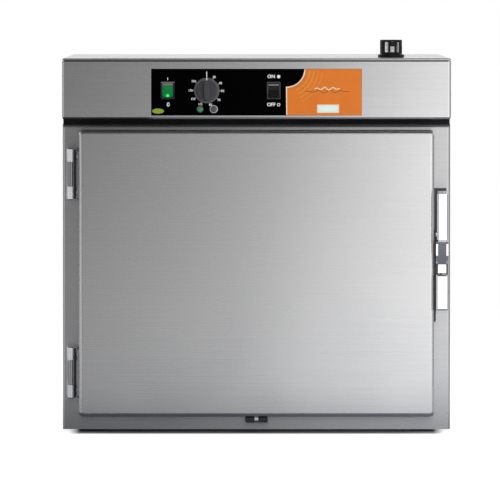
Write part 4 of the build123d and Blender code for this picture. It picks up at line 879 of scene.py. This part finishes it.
def make_gasket():
    """A moulded double-lip seal round the door's inner sheet, in the place of the plain ring."""
    low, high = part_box("door_gasket")
    width = 14 * MM
    path = rounded_path(low.x + width, high.x - width, low.z + width, high.z - width, 10 * MM)
    tall = (high.y - low.y) / MM
    profile = soft_outline([
        (1, 0.05), (7, 0.05), (13, 0.05), (13.2, 0.9), (10.4, 1.5), (12.2, 2.6), (13.6, 4.4),
        (12.6, tall - 0.5), (10.2, tall - 0.1), (8.2, tall - 1.2), (7, tall - 2.1), (5.8, tall - 1.2),
        (3.8, tall - 0.1), (1.4, tall - 0.5), (0.4, 4.4), (1.8, 2.6), (3.6, 1.5), (0.8, 0.9),
    ])
    mesh = bmesh.new()
    loops(mesh, [[(a + out_a * u, low.y + v, b + out_b * u) for u, v in profile]
                 for a, b, out_a, out_b in path])
    rubber = moulded("gasket_rubber", (0.022, 0.022, 0.024), 0.62, 0.00005, 900)
    piece("door_seal", mesh, rubber, body="door", smooth=50,
          replaces=("door_gasket",))


def make_cover_seal():
    """A round-edged sealing strip between the roof and the head's sheets."""
    low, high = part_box("cover_seal")
    path = rounded_path(low.x, high.x, low.y, high.y, 3 * MM, 4)
    tall, inset = high.z - low.z, 8.5 * MM
    half = tall / 2
    edge = [math.radians(-90 + 180 * n / 6) for n in range(7)]
    profile = [(-half + half * math.cos(a), half + half * math.sin(a)) for a in edge]
    profile += [(-inset, tall), (-inset, 0.0)]
    mesh = bmesh.new()
    loops(mesh, [[(a + out_a * u, b + out_b * u, low.z + v) for u, v in profile]
                 for a, b, out_a, out_b in path])
    foam = moulded("seal_foam", (0.006, 0.006, 0.007), 0.75, 0.00015, 700, 0.05)
    piece("roof_seal", mesh, foam, smooth=40, replaces=("cover_seal",))


# Mineral wool

WOOL_GRID = 8 * MM


def make_wool(node, name, body):
    """Soft slabs with a tufted surface, grown from a plain CAD node and kept inside it."""
    mesh = bmesh.new()
    mesh.from_mesh(NODES[node].data)
    bmesh.ops.remove_doubles(mesh, verts=mesh.verts[:], dist=1e-6)
    data = bpy.data.meshes.new(name)
    mesh.to_mesh(data)
    mesh.free()
    carrier = bpy.data.objects.new(name, data)
    bpy.context.scene.collection.objects.link(carrier)
    remesh = carrier.modifiers.new("grid", "REMESH")
    remesh.mode = "VOXEL"
    remesh.voxel_size = WOOL_GRID
    view = bpy.context.evaluated_depsgraph_get()
    soft = bpy.data.meshes.new_from_object(carrier.evaluated_get(view))
    bpy.data.objects.remove(carrier)
    mesh = bmesh.new()
    mesh.from_mesh(soft)
    mesh.normal_update()
    bulk = [(vertex, vertex.normal.copy(), vertex.co.copy()) for vertex in mesh.verts]
    for vertex, normal, place in bulk:
        sunk = 0.9 + 0.8 * noise.noise(place * 28) + 0.7 * noise.noise(place * 90)
        vertex.co = place - normal * max(0.2, sunk) * MM
    piece(name, mesh, WOOL, body=body, smooth=60, replaces=(node,))
    bpy.data.meshes.remove(soft)


# Screws

SCREW_STEPS = 36
SHANK, SOCKET, CORE = 2.5 * MM, 1.75 * MM, 0.1 * MM


def make_screws(node, name, axis, material, body):
    """Pan-head screws with six-lobed sockets, in the place of the plain ones."""
    mesh = bmesh.new()
    along = "XYZ".index(axis)
    side_a, side_b = [n for n in range(3) if n != along]
    turns = [2 * math.pi * n / SCREW_STEPS for n in range(SCREW_STEPS)]
    lobes = [SOCKET * (1 + 0.13 * math.cos(6 * a)) for a in turns]
    for low, high in islands(node):
        middle = (low + high) / 2
        way = 1 if middle[along] > 0 else -1
        tip, top = (low[along], high[along]) if way > 0 else (high[along], low[along])
        head = (high[side_a] - low[side_a]) / 2
        face = top - way * 2.2 * MM
        rings = [
            (tip, CORE), (tip + way * 0.8 * MM, 2.1 * MM), (tip + way * 1.4 * MM, SHANK), (face, SHANK),
            (face, head), (face + way * 0.7 * MM, head), (face + way * 1.5 * MM, head * 0.86),
            (top - way * 0.15 * MM, head * 0.62), (top, head * 0.56), (top, lobes),
            (top - way * 1.3 * MM, lobes), (top - way * 1.5 * MM, CORE),
        ]
        rows = []
        for level, reach in rings:
            row = []
            for angle, far in zip(turns, reach if isinstance(reach, list) else [reach] * SCREW_STEPS):
                point = [0.0, 0.0, 0.0]
                point[along] = level
                point[side_a] = middle[side_a] + far * math.cos(angle)
                point[side_b] = middle[side_b] + far * math.sin(angle)
                row.append(point)
            rows.append(row)
        bar(mesh, rows)
    piece(name, mesh, material, body=body, smooth=35, replaces=(node,))


# Stage, light and camera


def link_plain(name, mesh, material):
    """Turns a bmesh into an object that isn't part of the oven."""
    data = bpy.data.meshes.new(name)
    mesh.to_mesh(data)
    mesh.free()
    data.materials.append(material)
    made = bpy.data.objects.new(name, data)
    bpy.context.scene.collection.objects.link(made)
    return made


def make_floor():
    """A very large white floor with a painted shadow under the oven and just before its front, and painted
    light and shade in what the steel reflects: dim near the oven, lighter aside and behind.
    """
    material, tree, shader = begin("floor_paper")
    side, deep = coordinate(tree, "X"), coordinate(tree, "Y")
    straight = add(tree, "LightPath").outputs["Is Camera Ray"]
    # Painted shadow: the floor seen straight on darkens under the oven's footprint and a little before its
    # front.
    under = 1.0
    for value, outer, inner in ((side, cad_low.x + 0.01, cad_low.x + 0.03),
                                (side, cad_high.x - 0.01, cad_high.x - 0.03),
                                (deep, BODY_FRONT - 0.085, BODY_FRONT - 0.045),
                                (deep, BODY_BACK + 0.03, BODY_BACK)):
        under = times(tree, under, spread(tree, value, 0.0, 1.0, outer, inner))
    white_with_painted_shadow = spread(tree, under, 0.86, 0.0, 0.0, 1.0)
    # Painted light for reflections: the floor's glow is dim near the oven, lighter aside and behind, and
    # graded left to right like the light panel.
    aside = add(tree, "Math", {0: side}, operation="ABSOLUTE")
    near = spread(tree, deep, 0.13, 1.0, -0.6, -1.1)
    near = plus(tree, near, swell(tree, aside, 0.48, (0.5, 0.9), (2.2, 3.5)))
    near = plus(tree, near, swell(tree, deep, 0.3, (0.55, 0.95), (2.4, 3.8)))
    painted_reflected_light = times(tree, near, ramp(tree, side, LOWER_LIGHT))
    paper = mixed(tree, pattern(tree, 300, 3.0), (0.30, 0.30, 0.30, 1), (0.33, 0.33, 0.33, 1))
    # Painted shade: near the oven the reflected floor's glow turns a cool blue grey.
    tint = mixed(tree, between(tree, straight, near, 1.0), (0.84, 0.93, 1.12, 1), (1, 1, 1, 1))
    shade(tree, shader, {
        "Base Color": mixed(tree, straight, (0.03, 0.03, 0.035, 1), paper),
        "Roughness": 0.9,
        "Specular IOR Level": 0.0,
        "Emission Color": tint,
        "Emission Strength": between(tree, straight, painted_reflected_light, white_with_painted_shadow),
    })
    mesh = bmesh.new()
    bmesh.ops.create_grid(mesh, x_segments=8, y_segments=8, size=220)
    floor = link_plain("floor", mesh, material)
    floor.location.z = -0.0005


def make_card():
    """A big graded light panel in front of the oven: dark left of its middle and bright on the right."""
    material = bpy.data.materials.new("light_panel")
    material.use_nodes = True
    tree = material.node_tree
    tree.nodes.clear()
    side, height = coordinate(tree, "X"), coordinate(tree, "Z")
    upper, lower = (ramp(tree, side, stops) for stops in (UPPER_LIGHT, LOWER_LIGHT))
    light = between(tree, spread(tree, height, 0.0, 1.0, 0.05, 0.5), lower, upper)
    light = times(tree, light, spread(tree, height, 1.0, 0.6, 0.55, 1.0))
    glow = add(tree, "Emission", {"Color": (1, 1, 1, 1), "Strength": light})
    add(tree, "OutputMaterial", {"Surface": glow})
    mesh = bmesh.new()
    corners = ((-CARD_HALF, 0.0), (CARD_HALF, 0.0), (CARD_HALF, CARD_TOP), (-CARD_HALF, CARD_TOP))
    mesh.faces.new([mesh.verts.new((x, CARD_Y, z)) for x, z in corners])
    card = link_plain("light_panel", mesh, material)
    card.visible_camera = False
    card.visible_shadow = False


def make_world():
    """White behind the oven. Reflections see a grey room, darker up in front, lighter aside and behind."""
    world = bpy.data.worlds.new("studio")
    world.use_nodes = True
    tree = world.node_tree
    tree.nodes.clear()
    way = add(tree, "SeparateXYZ", {0: add(tree, "TexCoord").outputs["Generated"]})
    ahead = spread(tree, way.outputs["Z"], 0.34, 0.04, 0.38, 0.6)
    room = between(tree, spread(tree, way.outputs["Y"], 0.0, 1.0, -0.5, 0.1), ahead, 0.25)
    aside = add(tree, "Math", {0: way.outputs["X"]}, operation="ABSOLUTE")
    raised = spread(tree, way.outputs["Z"], 0.12, 0.45, 0.08, 0.22)
    room = plus(tree, room, times(tree, spread(tree, aside, 0.0, 1.0, 0.6, 1.0), raised))
    room = plus(tree, room, spread(tree, way.outputs["Y"], 0.0, 0.95, 0.0, 1.0))
    straight = add(tree, "LightPath").outputs["Is Camera Ray"]
    strength = between(tree, straight, room, 1.0)
    glow = add(tree, "Background", {"Color": (1, 1, 1, 1), "Strength": strength})
    add(tree, "OutputWorld", {"Surface": glow})
    bpy.context.scene.world = world


def soft_box(name, place, target, size, power):
    """A soft box that lights matt surfaces and leaves no reflection in the metal."""
    light = bpy.data.lights.new(name, "AREA")
    light.shape = "RECTANGLE"
    light.size, light.size_y = size
    light.energy = power
    lamp = bpy.data.objects.new(name, light)
    lamp.location = place
    lamp.rotation_euler = (Vector(target) - Vector(place)).to_track_quat("-Z", "Y").to_euler()
    lamp.visible_camera = False
    lamp.visible_glossy = False
    bpy.context.scene.collection.objects.link(lamp)


def make_camera():
    """A long lens far in front, two degrees above level, as the photograph was taken."""
    distance, tilt, sensor = 13.5, math.radians(2.0), 36
    middle = PHOTO_SIDE / 2
    target = Vector(((middle - MIDDLE_COLUMN) * PIXEL, fascia_low.y, (FLOOR_ROW - middle) * PIXEL))
    back = Vector((0, -math.cos(tilt), math.sin(tilt)))
    camera = bpy.data.objects.new("camera", bpy.data.cameras.new("camera"))
    camera.location = target + back * distance
    camera.rotation_euler = (-back).to_track_quat("-Z", "Y").to_euler()
    camera.data.sensor_width = sensor
    camera.data.lens = sensor * distance / (PHOTO_SIDE * PIXEL)
    camera.data.clip_start, camera.data.clip_end = 0.1, 1000
    bpy.context.scene.collection.objects.link(camera)
    bpy.context.scene.camera = camera
    bpy.context.scene.view_settings.view_transform = "Standard"


# Materials of the CAD nodes. Heights are where painted shade or a painted highlight makes a part of one
# node look darker or lighter.

# Painted shade on the lever's neck, a painted highlight on the green rocker's top and on a band of the
# black rocker, and the green rocker's glowing spots, placed where highlights fall.
LEVER_NECK = (304 * MM, 345 * MM)
GREEN_HIGHLIGHT_Z = 626.6 * MM
BLACK_ROCKER_HIGHLIGHT = (625.8 * MM, 628.4 * MM)
ROCKER_GLOW_SPOTS = ((608 * MM, 5 * MM, 0.9), (619.5 * MM, 4.5 * MM, 0.7))
rocker_x, rocker_y = centre_x("power_rocker"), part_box("power_rocker")[0].y

FRONT_STEEL = brushed("front_steel", "X", roughness=0.25, stretch=0.6, contrast=0.25, depth_mm=0.003)
# The frame's steel has a darker base than the rest: painted shade from the door and the head's overhang.
FRAME_STEEL = brushed("frame_steel", "X", (0.48, 0.48, 0.485), 0.28, 0.6, 0.3, 0.003)
DOOR_STEEL = brushed("door_steel", "X", roughness=0.26, stretch=0.6, contrast=0.12, depth_mm=0.0014)
# The door's hinge leaves have a much darker steel: painted shade on their middle knuckles.
LEAF_STEEL = brushed("leaf_steel", "Z", (0.34, 0.34, 0.35), 0.3, 0.5, 0.5)
SIDE_STEEL = brushed("side_steel", "Y")
ROOF_STEEL = brushed("roof_steel", "X", roughness=0.26)
BACK_STEEL = brushed("back_steel", "X", (0.57, 0.57, 0.58), 0.36, 0.5)
LINER_STEEL = brushed("liner_steel", "Y", (0.58, 0.575, 0.565), 0.24, 0.35, 0.8)
RACK_STEEL = polished("rack_steel", (0.66, 0.66, 0.66), 0.2)
CHROME = polished("latch_chrome", (0.88, 0.88, 0.89), 0.13, 0.06)
LEVER_CHROME = polished("lever_chrome", (0.88, 0.88, 0.89), 0.13, 0.06, shade_band=LEVER_NECK)
SATIN_CHROME = polished("hinge_chrome", (0.95, 0.95, 0.97), 0.34, 0.08, 0.45)
BLACK = moulded("black_plastic", (0.012, 0.012, 0.013), 0.38)
# Dark grey for the strip behind the latch lever: painted shade.
SHADE_GREY = moulded("shade_grey_plastic", (0.045, 0.045, 0.048), 0.5)
VENT_BLACK = moulded("vent_plastic", (0.006, 0.006, 0.007), 0.3, shine=0.2)
DARK_BAND = moulded("spacer_plastic", (0.006, 0.006, 0.007), 0.6, 0.00004, 700, 0.2)
FILM = moulded("overlay_film", (0.0004, 0.0004, 0.0006), 0.25, 0.000006, 2500, 0.015)
KNOB = knob_plastic()
HOUSING = moulded("switch_housing", (0.009, 0.009, 0.01), 0.32)
GREY = moulded("grey_plastic", (0.42, 0.44, 0.43), 0.5)
IRON = stained("motor_iron", (0.16, 0.16, 0.17), (0.10, 0.10, 0.11), 0.5)
FAN = polished("fan_metal", (0.72, 0.72, 0.73), 0.3)
HEATER = stained("heater_sheath", (0.20, 0.18, 0.17), (0.30, 0.20, 0.12), 0.42)
BRASS = stained("valve_brass", (0.72, 0.50, 0.22), (0.60, 0.40, 0.17), 0.3)
WOOL = fibrous("mineral_wool", (0.62, 0.55, 0.33), (0.40, 0.34, 0.17))
GREEN_LENS = lens("green_lens", (0.05, 0.16, 0.075), (0.06, 0.55, 0.22), 0.1)
CLEAR_LENS = lens("clear_lens", (0.05, 0.05, 0.05), (0.9, 0.9, 0.85), 0.02)
GREEN_ROCKER = lit_plastic(
    "green_rocker", (0.004, 0.22, 0.05), (0.12, 1.0, 0.28),
    [((rocker_x, rocker_y, z), reach, strength) for z, reach, strength in ROCKER_GLOW_SPOTS],
    (0.22, 0.20, 0.20), GREEN_HIGHLIGHT_Z)
BLACK_ROCKER = striped("black_rocker", (0.008, 0.008, 0.009), (0.22, 0.22, 0.24), *BLACK_ROCKER_HIGHLIGHT)

DRESS = {
    FRONT_STEEL: ("head_fascia",),
    FRAME_STEEL: ("front_frame",),
    LEAF_STEEL: ("hinge_door_leaves",),
    DOOR_STEEL: ("door_skin", "door_inner_sheet"),
    SIDE_STEEL: ("left_side_panel", "right_side_panel", "head_left_panel", "head_right_panel"),
    ROOF_STEEL: ("top_cover",),
    BACK_STEEL: ("rear_panel", "head_rear_panel", "base_panel", "body_deck", "head_floor",
                 "motor_bracket", "fan_baffle", "vent_pipe", "drain_pipe", "water_pipe"),
    LINER_STEEL: ("chamber_liner",),
    RACK_STEEL: ("rack_left", "rack_right", "baffle_nuts", "thermostat_sensor", "latch_strike"),
    CHROME: ("latch_body", "latch_pin", "strike_roller"),
    LEVER_CHROME: ("latch_lever",),
    SATIN_CHROME: ("hinge_frame_leaves", "door_rest_roller"),
    BLACK: ("base_glides", "cable_gland", "thermostat", "door_rest", "hinge_pins"),
    BLACK_ROCKER: ("humidity_rocker",),
    VENT_BLACK: ("vent_base", "vent_cap"),
    DARK_BAND: ("head_spacer",),
    FILM: ("control_overlay",),
    KNOB: ("thermostat_knob",),
    HOUSING: ("power_switch_housing", "humidity_switch_housing"),
    GREY: ("contactor", "terminal_blocks"),
    IRON: ("fan_motor",),
    FAN: ("fan_wheel",),
    HEATER: ("heater_ring",),
    BRASS: ("water_valve",),
    GREEN_LENS: ("pilot_lamp_green",),
    CLEAR_LENS: ("pilot_lamp_clear",),
    GREEN_ROCKER: ("power_rocker",),
}


def dress():
    """Gives each CAD node that stays in view its material."""
    for material, names in DRESS.items():
        for name in names:
            NODES[name].data.materials.clear()
            NODES[name].data.materials.append(material)


make_camera()
dress()
make_marks()
flat_piece("oval_patch", ellipse(*OVAL), 0, ink("lime_ink", (0.30, 0.42, 0.042)))
make_orange_field()
make_knob_line()
make_lamp_rings()
make_bezels()
make_latch_shade_strips()
make_head_shade_strip()
make_roof_seal_lip()
make_drip_edge()
make_hinge_shade_strip()
make_vent_gauze()
make_gasket()
make_cover_seal()
make_wool("insulation_slabs", "wool_slabs", "cabinet")
make_wool("door_insulation", "door_wool", "door")
make_screws("casing_screws", "casing_fixings", "Y", SATIN_CHROME, "cabinet")
make_screws("door_screws", "door_fixings", "X", SATIN_CHROME, "door")
make_floor()
make_card()
make_world()
for box in SOFT_BOXES:
    soft_box(*box)
